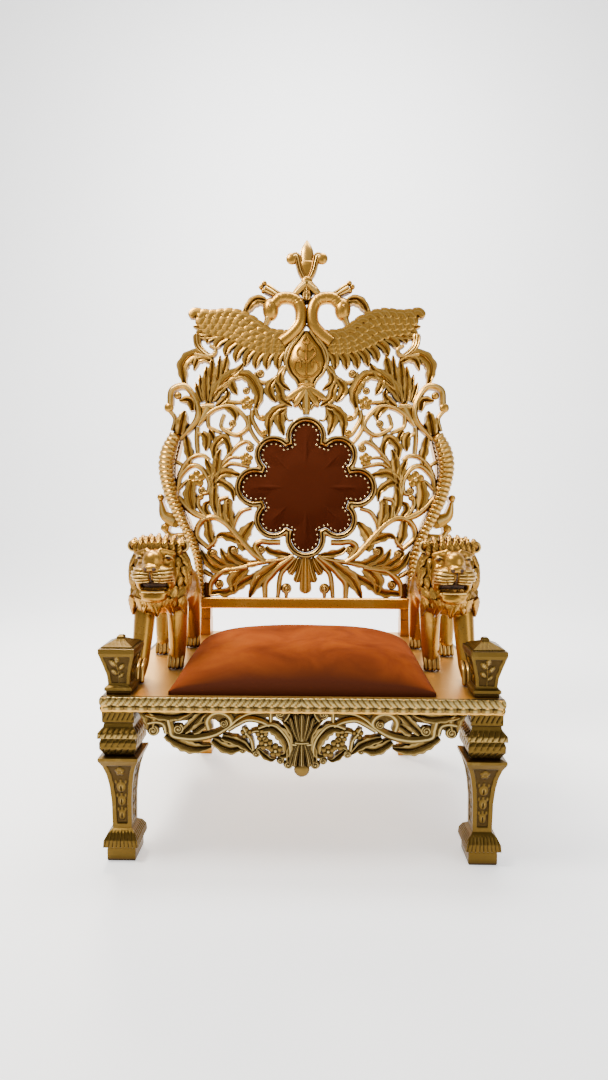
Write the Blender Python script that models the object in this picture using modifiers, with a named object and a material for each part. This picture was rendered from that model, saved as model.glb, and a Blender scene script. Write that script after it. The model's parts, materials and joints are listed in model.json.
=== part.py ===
"""A carved gilt lion throne, built as the real one is joined.

Metres, +Z up. +X is the sitter's left, seen on the right from the front, and the front looks
along -Y. The front edge of the seat is at y = 0 while the parts are made, and centre_on_floor
then moves the whole throne over the origin.
"""

import math

import bmesh
import bpy
import numpy as np
from mathutils import Matrix, Vector

NAME = "carved_lion_throne"
FIT = 0.0003
FLAT_ANGLE = math.radians(0.4)
OFF_ROUND = 0.0137

# Seat
SEAT_WIDTH = 1.07
SEAT_DEPTH = 0.753
SEAT_HEIGHT = 0.465
RIM_HEIGHT = 0.040
RIM_LOBE = 0.0311
RIM_NOTCH = 0.004

# Front legs and the corner posts above them
LEG_INSET = 0.043
LEG_BLOCK = 0.086
LEG_FOOT = 0.078
LEG_SHAFT = 0.055
LEG_COLLAR = 0.108
LEG_SETBACK = 0.012
POST_HEIGHT = 0.156
POST_CAP = 0.096
POST_FOOT = 0.074

# Back
BACK_LEAN = math.atan(0.095)
BACK_FOOT = 0.687
REAR_LEG = 0.060
REAR_FOOT = 0.045
POST_PLATE = 0.045
PLATE_BACK = -0.012
FRET_FRONT = 0.014
HORN_FRONT = 0.042
RAIL_HEIGHT = 0.040
RAIL_LIFT = 0.105
CARVING_UNIT = 0.003765

# Aprons
APRON_THICKNESS = 0.026
APRON_SETBACK = 0.030
SIDE_APRON_DROP = 0.085

# Upholstery
CUSHION_HEIGHT = 0.088
CUSHION_DEPTH = 0.600
CUSHION_SETBACK = 0.022
CUSHION_SIDE_GAP = 0.004
PAD_THICKNESS = 0.024

# Lions
LION_HEIGHT = 0.412
LION_FROM_FRONT = 0.330
LION_DRAWN_HEIGHT = 412.0
LION_HALF_STANCE = 66.0
LION_EDGE = 0.105

# Places that follow from the sizes above
LEG_X = SEAT_WIDTH / 2 - LEG_INSET
LEG_Y = LEG_SETBACK + LEG_BLOCK / 2
RIM_BOTTOM = SEAT_HEIGHT - RIM_HEIGHT
LION_X = SEAT_WIDTH / 2 - LION_EDGE
LION_SCALE = LION_HEIGHT / LION_DRAWN_HEIGHT

# The back is drawn on its leaning plane in carving units, x across and y up from the middle of
# the medallion. Its lower rail's underside is at RAIL_FOOT.
RAIL_HALF = 106.5
RAIL_TOP = -110.0
RAIL_FOOT = RAIL_TOP - RAIL_HEIGHT / CARVING_UNIT
MEDALLION_RISE = RAIL_LIFT / math.cos(BACK_LEAN) - RAIL_FOOT * CARVING_UNIT
REAR_LEG_X = 103.0 * CARVING_UNIT

# Colours and finishes: colour, roughness, metallic
GILT = ((0.62, 0.42, 0.13), 0.35, 1.0)
DULL_GILT = ((0.48, 0.35, 0.14), 0.42, 1.0)
PALE_GILT = ((0.70, 0.52, 0.22), 0.40, 1.0)
SUEDE = ((0.50, 0.16, 0.03), 0.90, 0.0)
DARK_SUEDE = ((0.16, 0.045, 0.01), 0.90, 0.0)

# Medallion: round lobes on the axes and between them
AXIS_LOBE = (50.7, 20.5)
DIAGONAL_LOBE = (45.5, 19.7)
MEDALLION_RIM = 6.0
MEDALLION_STEPS = 48

# Horn: the middle line with its full width, from the crook down to the rail
HORN_LINE = [
    (130, 52, 12), (137, 34, 17), (139, 16, 16), (134, -8, 14), (126, -27, 12),
    (116, -47, 10), (108, -67, 9.5), (104.5, -90, 8.5), (104.5, -109.9, 8.5),
]
HORN_RIBS = 13

# Carving strokes on the right half: kind, full width, then the middle line from root to tip.
# A leaf swells and ends in a point, a stem keeps its width, a tail thins out, a lobe ends round.
HORN_CROOK = [
    ("stem", 6.5, [(136, 82), (134, 97), (120, 100), (109, 82), (110, 66), (126, 48)]),
    ("stem", 4.5, [(138, 78), (131, 68), (134, 56)]),
    ("leaf", 8, [(113, 76), (116, 86), (127, 86)]),
    ("leaf", 11, [(126, 52), (124, 64), (121, 76)]),
]
HORN_BALLS = [(137, 79, 5.0), (128, 91, 4.0)]

POST_EARS = [
    ("tail", 14, [(132, -34), (143, -28), (146.5, -14)]),
    ("tail", 12, [(122, -52), (136, -50), (142, -42)]),
]
EAR_BALLS = [(146.5, -10, 3.6), (142, -41, 4.6)]

FRET_STROKES = [
    # Between the drop and the medallion
    ("leaf", 8, [(22, 121), (26, 112), (25, 104), (16, 97)]),
    ("stem", 4.5, [(20, 122), (29, 111), (37, 105.5), (45, 105), (50.5, 110), (50.5, 115)]),
    ("leaf", 9, [(32, 108), (37, 100), (35, 92), (30, 85)]),
    ("leaf", 9, [(29, 103), (26, 96), (24, 88), (14, 81)]),
    ("leaf", 9, [(20, 81), (29, 78), (37, 68), (37, 50)]),
    ("leaf", 10, [(21, 81), (26, 73), (26, 64), (22, 52)]),
    ("tail", 5, [(21, 80), (20.5, 72), (17.5, 67), (13, 68)]),
    # Upper inner arch and its curls
    ("leaf", 11, [(74, 110), (65, 112.5), (56, 109), (48, 95), (49, 83), (53, 74)]),
    ("stem", 4, [(62, 110.5), (56.5, 104), (56, 98)]),
    ("leaf", 8, [(76, 107), (73, 99), (69, 92.5)]),
    ("stem", 5, [(54, 77), (54, 68), (46, 54), (38, 49)]),
    ("stem", 5, [(51, 79), (49, 72), (45, 68)]),
    ("stem", 4.5, [(57.5, 72), (56.5, 60), (52, 51), (45, 42)]),
    ("stem", 4, [(82, 86), (72, 85), (60, 84.5)]),
    # Upper side loop
    ("stem", 5, [(107, 65), (98, 73), (90, 78.5), (80, 81), (71, 79.5), (60, 68), (59, 59), (70, 52),
                 (84, 59), (84.5, 66), (82, 73)]),
    ("stem", 4, [(80, 57.5), (76, 58), (73.5, 61)]),
    ("leaf", 8, [(82, 81), (75, 78), (71, 72), (71, 66)]),
    ("leaf", 7, [(90, 80), (83, 86), (78.5, 92), (80, 99)]),
    # Fan of leaves at the shoulder
    ("stem", 7, [(92, 80.5), (98, 80.5), (105, 80.5)]),
    ("tail", 12, [(98, 79), (103, 70), (108.5, 61)]),
    ("leaf", 10, [(98, 84), (97, 98), (95, 112), (94, 130)]),
    ("leaf", 8, [(95, 85), (91, 100), (88, 113), (86.5, 132)]),
    ("leaf", 12, [(94, 87), (87, 99), (79, 108), (67, 118), (63, 124)]),
    ("leaf", 5, [(93, 88), (88, 95), (76, 105), (70, 111)]),
    ("leaf", 8, [(100, 86), (100.5, 97), (100, 121)]),
    ("leaf", 6, [(102, 86), (104, 96), (107, 113)]),
    ("leaf", 6, [(104, 85), (107.5, 94), (111, 105)]),
    ("leaf", 8, [(84, 112), (82, 119), (79, 132)]),
    # Shoulder scroll up to the wing tip
    ("lobe", 9, [(97, 131), (104, 136), (109, 143), (110, 154)]),
    ("stem", 4.5, [(112, 133), (103, 131.5), (94, 132), (91, 138), (97, 142)]),
    ("leaf", 11, [(97, 130.5), (107, 132.5), (116, 131.5), (124, 122), (123, 109), (121, 99)]),
    ("leaf", 7, [(94, 125), (102, 129), (109, 127), (113, 117)]),
    # Outer side, above the middle
    ("stem", 4.5, [(98, 74), (98.5, 66), (97, 60), (91, 57), (84, 54)]),
    ("leaf", 8, [(90, 26), (92, 39), (83, 49.5), (77, 40), (79, 27)]),
    ("leaf", 9, [(104, 54), (100, 50), (99.5, 44), (100.5, 36)]),
    ("leaf", 5, [(97, 57), (93, 51), (92, 44)]),
    ("stem", 5, [(109, 60), (109.5, 48), (108, 30)]),
    ("stem", 4, [(110, 55), (104, 52)]),
    ("leaf", 8, [(120, 50), (118, 38), (116.5, 31), (117, 20)]),
    ("stem", 5, [(127, 10), (122, 21), (113, 30), (103, 31.5), (96, 27)]),
    ("stem", 4, [(133, 26), (127, 24), (122, 20)]),
    ("stem", 5.5, [(130, -10), (128, 2), (125.5, 11), (115, 21), (105, 19), (97, 6), (98, -5), (103, -7)]),
    ("stem", 3.5, [(127, -2), (119, 6), (110, 8)]),
    # Outer side, below the middle
    ("leaf", 12, [(114, 5), (116, -6), (115, -14), (112, -26)]),
    ("stem", 7, [(130, -9), (124, -15), (117, -22), (108, -28), (96, -32)]),
    ("stem", 5, [(107, -9), (108, -17), (104, -24), (97, -32)]),
    ("leaf", 6, [(95, -15), (100, -18), (99.5, -24), (93, -32)]),
    ("stem", 4.5, [(95.5, 0), (95, -10), (93.5, -19), (87, -32)]),
    # Plume of leaves at the middle of the side
    ("leaf", 8, [(92, 4), (93, 13), (96.5, 20), (101, 29)]),
    ("leaf", 9, [(92, 4), (89, 22), (88, 31), (85, 38)]),
    ("stem", 4.5, [(89, 12), (81, 27), (72, 38), (65, 46), (66, 53)]),
    ("stem", 4.5, [(80, 29), (73, 37), (66, 43), (59, 45.5), (52, 41)]),
    ("stem", 4.5, [(91, 10), (81, 20.5), (73, 23.5), (56, 20)]),
    ("stem", 3.5, [(84, 22), (75, 29.5), (62, 29)]),
    ("leaf", 9, [(92, 6), (86, 12), (79, 14.5), (63, 11)]),
    ("leaf", 8, [(96, -4), (92, 2), (85, 5), (74, -3), (72, -14)]),
    ("stem", 5, [(88, -32), (87.5, -20), (86.5, -13), (77, -10)]),
    ("leaf", 8, [(91, 4), (91.5, -7), (91.5, -16), (88, -30)]),
    ("leaf", 7, [(84, -17), (83, -27), (79, -34), (71, -46)]),
    # Lower main scroll
    ("stem", 6.5, [(40, -75), (50, -68), (58, -60), (72, -44), (80, -36), (89, -31), (97, -31), (104, -34.5),
                   (108.5, -42), (108, -51), (97, -61)]),
    ("leaf", 9, [(98, -33), (97, -43), (95.5, -51), (91, -60)]),
    ("stem", 5, [(99, -62), (92, -56), (89, -49)]),
    ("leaf", 8, [(64, -55), (76, -50), (84, -48), (91, -52)]),
    ("stem", 5, [(71, -48), (72, -38), (65, -25), (54, -21)]),
    ("leaf", 10, [(78, -13), (77, -29), (75, -38), (71, -48)]),
    ("leaf", 12, [(60, -63), (64, -54), (61, -46), (52, -34)]),
    ("stem", 5, [(44, -74), (52, -65), (60, -58), (66, -50)]),
    ("stem", 6, [(25, -55), (36, -55), (45, -54.5), (50.5, -60), (42, -73)]),
    ("leaf", 7, [(40, -60), (33, -65), (12, -68)]),
    ("stem", 5, [(12, -69), (28, -73), (40, -74.5), (64, -79.5), (78, -81)]),
    ("leaf", 9, [(48, -76), (60, -76), (74, -67), (75, -61), (70, -59.5)]),
    ("leaf", 9, [(62, -79), (74, -76), (80, -71), (85, -61)]),
    ("leaf", 8, [(70, -80), (81, -78.5), (96, -67), (92, -62)]),
    ("leaf", 9, [(66, -81), (79, -83), (90, -81), (98, -74), (104, -63)]),
    # Lower corner scroll
    ("stem", 6.5, [(58, -80), (71, -82), (82, -84), (93.5, -95), (95, -108)]),
    ("leaf", 9, [(94, -106), (86, -105), (77, -104.5), (60, -94), (38, -82)]),
    ("stem", 5, [(103, -83), (93, -89)]),
    ("leaf", 13, [(58, -80), (66, -86), (72, -94), (71, -106)]),
    # Palmette under the medallion
    ("leaf", 12, [(27, -76), (38, -84), (47, -92), (56, -110)]),
    ("stem", 7, [(14, -70), (27, -80), (34, -88), (40, -96), (40, -110)]),
    ("stem", 5.5, [(10, -70), (20, -81), (25, -89), (27.5, -110)]),
    ("lobe", 8, [(7, -70), (12, -81), (16.5, -87)]),
    ("lobe", 8, [(3, -70), (6, -84), (9.5, -95)]),
    ("lobe", 13, [(0, -70), (0, -88), (0, -106)]),
    ("stem", 4, [(19, -102), (19, -110)]),
]
FRET_BALLS = [
    (46, 113.5, 4.5), (60, 96.5, 4.0), (42, 54, 3.8), (43.5, 69, 3.6), (73.5, 63.5, 4.2), (104, -3.5, 4.2),
    (105, -10, 3.4), (56, 39, 4.4), (77.5, -16, 5.0), (44.5, -62.5, 4.8), (71, -64, 4.6), (92, -66.5, 4.6),
    (86, -97, 4.8), (19, -101, 5.5), (59, 84, 6.0), (109, 8, 7.0), (59.5, 28, 5.5), (93, 8, 4.5),
]

# Swan crest: rows of feathers laid along curves, from the leading edge down
WING_EDGE = ("tail", 7, [(18, 151), (38, 153.5), (58, 167.5), (76, 173), (95, 171.5), (111, 173.5)])
SCALE_ROWS = [
    (10, 6.4, [(22, 146), (42, 148), (57, 159), (70, 166), (105, 167)]),
    (9, 6.0, [(24, 138), (44, 138.5), (61, 144.5), (78, 153), (98, 157)]),
]
FEATHER_ROOTS = [(24, 136), (44, 135), (62, 142), (80, 150), (101, 155)]
FEATHER_TIPS = [(28, 121), (50, 121), (70, 128), (90, 140), (106, 152)]
FEATHERS = 9
FEATHER_WIDTH = 9.5
SWAN_NECK = ("stem", 11, [(25, 145), (16, 152), (8, 161), (5.6, 169), (6, 178), (10, 186), (18, 189.5),
                          (27, 188.5), (33, 183)])
CREST_STROKES = [
    ("tail", 8, [(35, 176), (40, 166), (44, 157)]),
    ("lobe", 9, [(20, 190), (31, 194), (41, 199.5)]),
    ("leaf", 8, [(36, 182), (49, 187), (60, 178), (64, 167)]),
    ("stem", 5, [(2, 164), (11, 150), (19, 138), (21.5, 128), (19, 118)]),
    ("stem", 9, [(0, 106), (0, 92), (0, 72.4)]),
    ("lobe", 6, [(4, 78), (8, 84), (14, 88)]),
    ("lobe", 10, [(0, 203), (0, 186)]),
    ("tail", 8, [(0, 206), (9, 199), (15, 192)]),
    ("lobe", 8, [(0, 205), (6, 216), (10, 231), (15, 229)]),
]
SWAN_HEAD = (36, 178, 7.0)
NECK_RISE = 0.004
NECK_SIDES = 6
CREST_BALLS = [(36, 178, 8.0), (15, 229, 6.0), (14, 90, 4.4), (0, 206, 6.0)]
DROP_OUTLINE = [(2.2, 157), (9, 147), (14, 140), (17.5, 131), (18.5, 123), (15, 114), (9, 107), (6.5, 100)]
DROP_DEPTH = 0.030
SPEAR = [(0.8, 248), (6.4, 237), (6.4, 218), (2.5, 210)]

# Front apron strokes on the right half, y down from the rim, drawn APRON_HALF units wide
APRON_HALF = 165.3
APRON_STROKES = [
    ("stem", 7, [(0, -3), (60, -3), (120, -3), (166, -3)]),
    ("leaf", 12, [(165, -2), (158, -9), (156, -17), (158, -26)]),
    ("stem", 7, [(158, -16), (150, -14.5), (142, -17), (139.5, -27)]),
    ("leaf", 11, [(160, -5), (146, -7), (130, -8), (112, -4)]),
    ("stem", 6, [(137, -12), (135, -20), (133, -28), (122, -31), (108, -31.5), (90, -27.5), (76, -20),
                 (66, -11), (54, -5), (36, -3.5)]),
    ("leaf", 13, [(140, -28), (130, -35), (112, -42), (93, -41)]),
    ("leaf", 10, [(121, -25), (112, -16), (104, -8), (96, -3)]),
    ("leaf", 10, [(112, -25), (104, -19), (97, -15)]),
    ("stem", 8, [(95, -22), (97, -13), (92, -6), (84, -4), (76, -7), (72, -14), (75, -21)]),
    ("stem", 7, [(76, -22), (66, -16), (55, -11), (42, -13), (33, -18)]),
    ("stem", 5, [(32, -2), (32, -18)]),
    ("leaf", 13, [(42, -21), (31, -20), (20, -28), (15, -38), (16, -48), (24, -50)]),
    ("leaf", 11, [(92, -33), (82, -40), (72, -43), (58, -40)]),
    ("leaf", 9, [(82, -30), (71, -33), (60, -38), (50, -48)]),
    ("stem", 5, [(60, -20), (56, -27), (52, -33), (50, -44)]),
    ("stem", 5, [(52, -25), (44, -24), (38, -36), (46, -43)]),
    ("leaf", 6, [(46, -42), (40, -48), (32, -54), (26, -53)]),
    ("stem", 4.5, [(38, -36), (31, -42), (26, -45)]),
    ("leaf", 8, [(7, -36), (9, -24), (16, -15), (22, -11)]),
    ("stem", 4, [(18, -13), (14, -8), (12, -2)]),
    ("stem", 4, [(20, -11), (25, -9), (26, -3)]),
    ("leaf", 8, [(11, -38), (12, -48), (13, -60)]),
    ("lobe", 20, [(0, 0), (0, -8), (0, -16)]),
    ("stem", 15, [(0, -10), (0, -30), (0, -62)]),
    ("stem", 7, [(0, -37), (10, -37)]),
]
APRON_BALLS = [
    (153, -24, 7.0), (127, -22, 7.0), (80, -16, 5.5), (57, -26, 5.5), (41, -28, 6.0), (37, -37, 6.5),
    (27, -44, 6.5), (22, -55, 4.5), (14, -59, 5.5), (47, -47.5, 5.0), (61, -44, 4.5), (22, -5, 4.5),
    (0, -64, 8.6),
]


def make_collection(name):
    """Return a new collection linked to the scene."""
    collection = bpy.data.collections.new(name)
    bpy.context.scene.collection.children.link(collection)
    return collection


def clear_scene():
    """Remove whatever the file opened with."""
    for thing in list(bpy.data.objects):
        bpy.data.objects.remove(thing, do_unlink=True)


def finish_of(name, look):
    """Make one Principled material for a part."""
    colour, roughness, metallic = look
    material = bpy.data.materials.new(name + "_finish")
    material.use_nodes = True
    shader = material.node_tree.nodes["Principled BSDF"]
    shader.inputs["Base Color"].default_value = (*colour, 1.0)
    shader.inputs["Roughness"].default_value = roughness
    shader.inputs["Metallic"].default_value = metallic
    material.diffuse_color = (*colour, 1.0)
    return material


def mesh_object(name, bm, collection):
    """Turn a bmesh into a named object."""
    mesh = bpy.data.meshes.new(name)
    bm.to_mesh(mesh)
    bm.free()
    thing = bpy.data.objects.new(name, mesh)
    collection.objects.link(thing)
    return thing


def give_finish(thing, look):
    """Put the part's own finish on its mesh."""
    thing.data.materials.clear()
    thing.data.materials.append(finish_of(thing.name, look))


def add_box(bm, low, high):
    """Add a box between two corners."""
    made = bmesh.ops.create_cube(bm, size=1.0)
    for vert in made["verts"]:
        vert.co = Vector(
            low[axis] + (vert.co[axis] + 0.5) * (high[axis] - low[axis]) for axis in range(3)
        )


def add_ball(bm, centre, radii, segments=10, rings=6, turn=None):
    """Add an ellipsoid."""
    made = bmesh.ops.create_uvsphere(bm, u_segments=segments, v_segments=rings, radius=1.0)
    frame = Matrix.Translation(centre)
    if turn is not None:
        frame = frame @ turn
    frame = frame @ Matrix.Diagonal((*radii, 1.0))
    bmesh.ops.transform(bm, matrix=frame, verts=made["verts"])


def add_limb(bm, start, end, start_radius, end_radius, sides=10):
    """Add a tapered limb with round ends."""
    start = Vector(start)
    end = Vector(end)
    along = end - start
    made = bmesh.ops.create_cone(
        bm, cap_ends=True, segments=sides, radius1=start_radius, radius2=end_radius, depth=along.length
    )
    frame = Matrix.Translation((start + end) / 2) @ along.to_track_quat("Z", "Y").to_matrix().to_4x4()
    bmesh.ops.transform(bm, matrix=frame, verts=made["verts"])
    add_ball(bm, start, (start_radius,) * 3, sides)
    add_ball(bm, end, (end_radius,) * 3, sides)


def evaluated_mesh(thing):
    """Return a real mesh of what an object's curve and modifiers make."""
    bpy.context.view_layer.update()
    graph = bpy.context.evaluated_depsgraph_get()
    return bpy.data.meshes.new_from_object(thing.evaluated_get(graph), depsgraph=graph)


def apply_all(thing):
    """Replace an object by its evaluated mesh, welded and with its faces turned out."""
    mesh = evaluated_mesh(thing)
    bm = bmesh.new()
    bm.from_mesh(mesh)
    bmesh.ops.remove_doubles(bm, verts=bm.verts, dist=0.00001)
    bmesh.ops.recalc_face_normals(bm, faces=bm.faces)
    bm.to_mesh(mesh)
    bm.free()
    made = bpy.data.objects.new(thing.name, mesh)
    made.matrix_world = thing.matrix_world.copy()
    for collection in thing.users_collection:
        collection.objects.link(made)
    name = thing.name
    bpy.data.objects.remove(thing, do_unlink=True)
    made.name = name
    return made


def united(body, additions):
    """Join a body with others into one solid and clear the needless edges on its flat faces."""
    for addition in additions:
        step = body.modifiers.new(addition.name, "BOOLEAN")
        step.operation = "UNION"
        step.solver = "EXACT"
        step.object = addition
    joined = apply_all(body)
    for addition in additions:
        bpy.data.objects.remove(addition, do_unlink=True)
    bm = bmesh.new()
    bm.from_mesh(joined.data)
    bmesh.ops.dissolve_limit(bm, angle_limit=FLAT_ANGLE, verts=bm.verts, edges=bm.edges)
    bmesh.ops.triangulate(bm, faces=bm.faces)
    bm.to_mesh(joined.data)
    bm.free()
    return joined


def smooth_path(points, per_span=7):
    """Points along a smooth curve through the given ones, whatever number each holds."""
    given = np.array(points, dtype=float)
    padded = np.vstack([2 * given[0] - given[1], given, 2 * given[-1] - given[-2]])
    path = []
    for span in range(len(given) - 1):
        before, start, end, after = padded[span:span + 4]
        for step in range(per_span):
            t = step / per_span
            path.append(0.5 * (
                2 * start + (end - before) * t + (2 * before - 5 * start + 4 * end - after) * t ** 2
                + (3 * start - before - 3 * end + after) * t ** 3
            ))
    path.append(given[-1])
    return np.array(path)


def width_share(kind, t):
    """Share of a stroke's full width at t, from its root at 0 to its tip at 1."""
    if kind == "leaf":
        if t < 0.45:
            return 0.5 + 0.5 * math.sin(math.pi / 2 * t / 0.45)
        return 0.16 + 0.84 * math.cos(math.pi / 2 * (t - 0.45) / 0.55)
    if kind == "tail":
        return 1.0 - 0.75 * t
    if kind == "lobe":
        return 0.45 + 0.55 * math.sqrt(t)
    return 1.0 - 0.25 * max(0.0, t - 0.7) / 0.3


def stroke_discs(stroke):
    """The discs (x, y, radius) that a stroke sweeps."""
    kind, width, points = stroke
    path = smooth_path(points)
    return [(x, y, width / 2 * width_share(kind, i / (len(path) - 1))) for i, (x, y) in enumerate(path)]


def both_sides(discs):
    """The discs and their mirror images."""
    return list(discs) + [(-x, y, radius) for x, y, radius in discs]


def medallion_discs():
    """The lobes of the medallion and the field inside them."""
    discs = [(0.0, 0.0, AXIS_LOBE[0])]
    for eighth in range(8):
        reach, radius = AXIS_LOBE if eighth % 2 == 0 else DIAGONAL_LOBE
        turn = eighth * math.pi / 4
        discs.append((reach * math.cos(turn), reach * math.sin(turn), radius))
    return discs


class Drawing:
    """A flat shape kept as signed distances on a grid: below zero is wood."""

    def __init__(self, low, high, pitch=0.8):
        self.xs = np.arange(low[0], high[0] + pitch, pitch) + OFF_ROUND
        self.ys = np.arange(low[1], high[1] + pitch, pitch) + OFF_ROUND
        self.field = np.full((len(self.ys), len(self.xs)), 99.0)

    def add(self, discs, grow=0.0):
        """Unite the drawing with discs."""
        for x, y, radius in discs:
            self.field = np.minimum(self.field, self.distance(x, y) - radius - grow)
        return self

    def distance(self, x, y):
        """Distance of every grid point from a place."""
        return np.hypot(self.xs[None, :] - x, self.ys[:, None] - y)

    def cut(self, other, gap=0.0):
        """Take away another drawing on the same grid, with a gap round it."""
        self.field = np.maximum(self.field, gap - other.field)
        return self

    def above(self, level):
        """Keep what is above a level line."""
        self.field = np.maximum(self.field, level - self.ys[:, None])
        return self

    def below(self, level):
        """Keep what is below a level line."""
        self.field = np.maximum(self.field, self.ys[:, None] - level)
        return self

    def outlines(self, tolerance, smallest=9.0):
        """Closed outlines of the shape and its holes, with small loops left out."""
        loops = trace_level(self.xs, self.ys, self.field)
        loops = [loop for loop in loops if len(loop) > 3 and abs(loop_area(loop)) > smallest]
        return thin_apart(drop_islands(loops), tolerance)


def crossing(a, b, va, vb):
    """Where the field passes zero between two grid points."""
    share = va / (va - vb)
    return (a[0] + share * (b[0] - a[0]), a[1] + share * (b[1] - a[1]))


def trace_level(xs, ys, field):
    """March the grid's cells and link the zero crossings into closed loops."""
    inside = field < 0
    corner_sum = inside[:-1, :-1].astype(int) + inside[1:, :-1] + inside[:-1, 1:] + inside[1:, 1:]
    cells = np.argwhere((corner_sum > 0) & (corner_sum < 4))
    following = {}
    place = {}
    for row, column in cells:
        corners = [(row, column), (row, column + 1), (row + 1, column + 1), (row + 1, column)]
        leaving = []
        entering = []
        for side in range(4):
            a = corners[side]
            b = corners[(side + 1) % 4]
            if inside[a] == inside[b]:
                continue
            key = (min(a, b), max(a, b))
            place[key] = crossing(
                (xs[a[1]], ys[a[0]]), (xs[b[1]], ys[b[0]]), field[a], field[b]
            )
            if inside[a]:
                leaving.append(key)
            else:
                entering.append(key)
        if len(leaving) == 2 and inside[corners[0]] == (field[row:row + 2, column:column + 2].mean() < 0):
            entering.reverse()
        for start, end in zip(leaving, entering):
            following[start] = end
    loops = []
    while following:
        key, after = following.popitem()
        loop = [place[key]]
        while after in following:
            loop.append(place[after])
            after = following.pop(after)
        loops.append(np.array(loop))
    return loops


def loop_area(loop):
    """Signed area of a closed loop."""
    x, y = np.asarray(loop).T
    return 0.5 * float(np.sum(x * np.roll(y, -1) - np.roll(x, -1) * y))


def thin_line(points, tolerance):
    """Drop the points that lie within a tolerance of the line through the kept ones."""
    if len(points) < 3:
        return [points[0]]
    start = points[0]
    along = points[-1] - start
    length = np.hypot(*along)
    offset = points - start
    if length > 0:
        away = np.abs(along[0] * offset[:, 1] - along[1] * offset[:, 0]) / length
    else:
        away = np.hypot(offset[:, 0], offset[:, 1])
    far = int(np.argmax(away))
    if away[far] < tolerance:
        return [start]
    return thin_line(points[:far + 1], tolerance) + thin_line(points[far:], tolerance)


def thin_loop(loop, tolerance):
    """Thin a closed loop from two far points."""
    first = int(np.argmin(loop[:, 0]))
    loop = np.roll(loop, -first, axis=0)
    second = int(np.argmax(np.hypot(*(loop - loop[0]).T)))
    closed = np.vstack([loop, loop[:1]])
    return np.array(thin_line(closed[:second + 1], tolerance) + thin_line(closed[second:], tolerance))


def thin_apart(loops, tolerance):
    """Thin closed loops, more finely where one would cross itself or its neighbour."""
    tolerances = np.full(len(loops), tolerance)
    for _ in range(5):
        thinned = [thin_loop(loop, finest) for loop, finest in zip(loops, tolerances)]
        crossed = crossing_loops(thinned)
        if not crossed:
            break
        tolerances[list(crossed)] /= 2
    return thinned


def turning(start, end, points):
    """Which side of a line each point lies on."""
    along = end - start
    offset = points - start
    return along[..., 0] * offset[..., 1] - along[..., 1] * offset[..., 0]


def crossing_loops(loops):
    """The places in the list of the loops whose sides cross any side."""
    starts = np.vstack(loops)
    ends = np.vstack([np.roll(loop, -1, axis=0) for loop in loops])
    owners = np.repeat(np.arange(len(loops)), [len(loop) for loop in loops])
    crossed = set()
    for start, end, owner in zip(starts, ends, owners):
        parted = turning(start, end, starts) * turning(start, end, ends) < 0
        meets = turning(starts, ends, start) * turning(starts, ends, end) < 0
        hits = owners[parted & meets]
        if len(hits):
            crossed.add(int(owner))
            crossed.update(int(hit) for hit in hits)
    return crossed


def point_inside(point, loop):
    """Whether a closed loop goes round a point."""
    x, y = point
    ends = np.roll(loop, -1, axis=0)
    spans = (loop[:, 1] > y) != (ends[:, 1] > y)
    rise = np.where(spans, ends[:, 1] - loop[:, 1], 1.0)
    cross = loop[:, 0] + (y - loop[:, 1]) * (ends[:, 0] - loop[:, 0]) / rise
    return int(np.sum(spans & (x < cross))) % 2 == 1


def drop_islands(loops):
    """Keep the largest outline and the holes inside it, so the piece is one body."""
    outer = max(loops, key=lambda loop: abs(loop_area(loop)))
    sign = math.copysign(1.0, loop_area(outer))
    holes = [loop for loop in loops if loop_area(loop) * sign < 0 and point_inside(loop[0], outer)]
    return [outer] + holes


def flat_carving(name, loops, unit, back, front, collection):
    """A flat carved piece: closed outlines in drawing units, extruded from back to front."""
    curve = bpy.data.curves.new(name, "CURVE")
    curve.dimensions = "2D"
    curve.fill_mode = "BOTH"
    curve.extrude = (front - back) / 2
    for loop in loops:
        spline = curve.splines.new("POLY")
        spline.points.add(len(loop) - 1)
        for point, (x, y) in zip(spline.points, loop):
            point.co = (x * unit, y * unit, 0.0, 1.0)
        spline.use_cyclic_u = True
    thing = bpy.data.objects.new(name, curve)
    thing.location = (0.0, 0.0, (front + back) / 2)
    collection.objects.link(thing)
    return apply_all(thing)


def back_frame():
    """The leaning plane of the back: x across, y up the plane, z out to the front."""
    foot = Matrix.Translation((0.0, BACK_FOOT + PLATE_BACK, SEAT_HEIGHT))
    lean = Matrix.Rotation(math.pi / 2 - BACK_LEAN, 4, "X")
    return foot @ lean @ Matrix.Translation((0.0, MEDALLION_RISE, 0.0))


def stand_up(thing, frame):
    """Move a piece that was drawn flat onto its plane."""
    thing.matrix_world = frame @ thing.matrix_world
    return thing


def square_turned(name, profile, centre, collection):
    """A post of square sections: profile is (half width, height) from the top down."""
    bm = bmesh.new()
    rows = [(0.0, profile[0][1])] + list(profile) + [(0.0, profile[-1][1])]
    verts = [bm.verts.new((half * math.sqrt(2), 0.0, height)) for half, height in rows]
    for upper, lower in zip(verts, verts[1:]):
        bm.edges.new((upper, lower))
    thing = mesh_object(name, bm, collection)
    turn = thing.modifiers.new("square turning", "SCREW")
    turn.steps = 4
    turn.render_steps = 4
    turn.use_merge_vertices = True
    turn.merge_threshold = 0.00001
    thing.location = (centre[0], centre[1], 0.0)
    thing.rotation_euler = (0.0, 0.0, math.pi / 4)
    return apply_all(thing)


def half_width_at(profile, height):
    """Half width of a square turned post at a height."""
    heights = [row[1] for row in reversed(profile)]
    halves = [row[0] for row in reversed(profile)]
    return float(np.interp(height, heights, halves))


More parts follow.
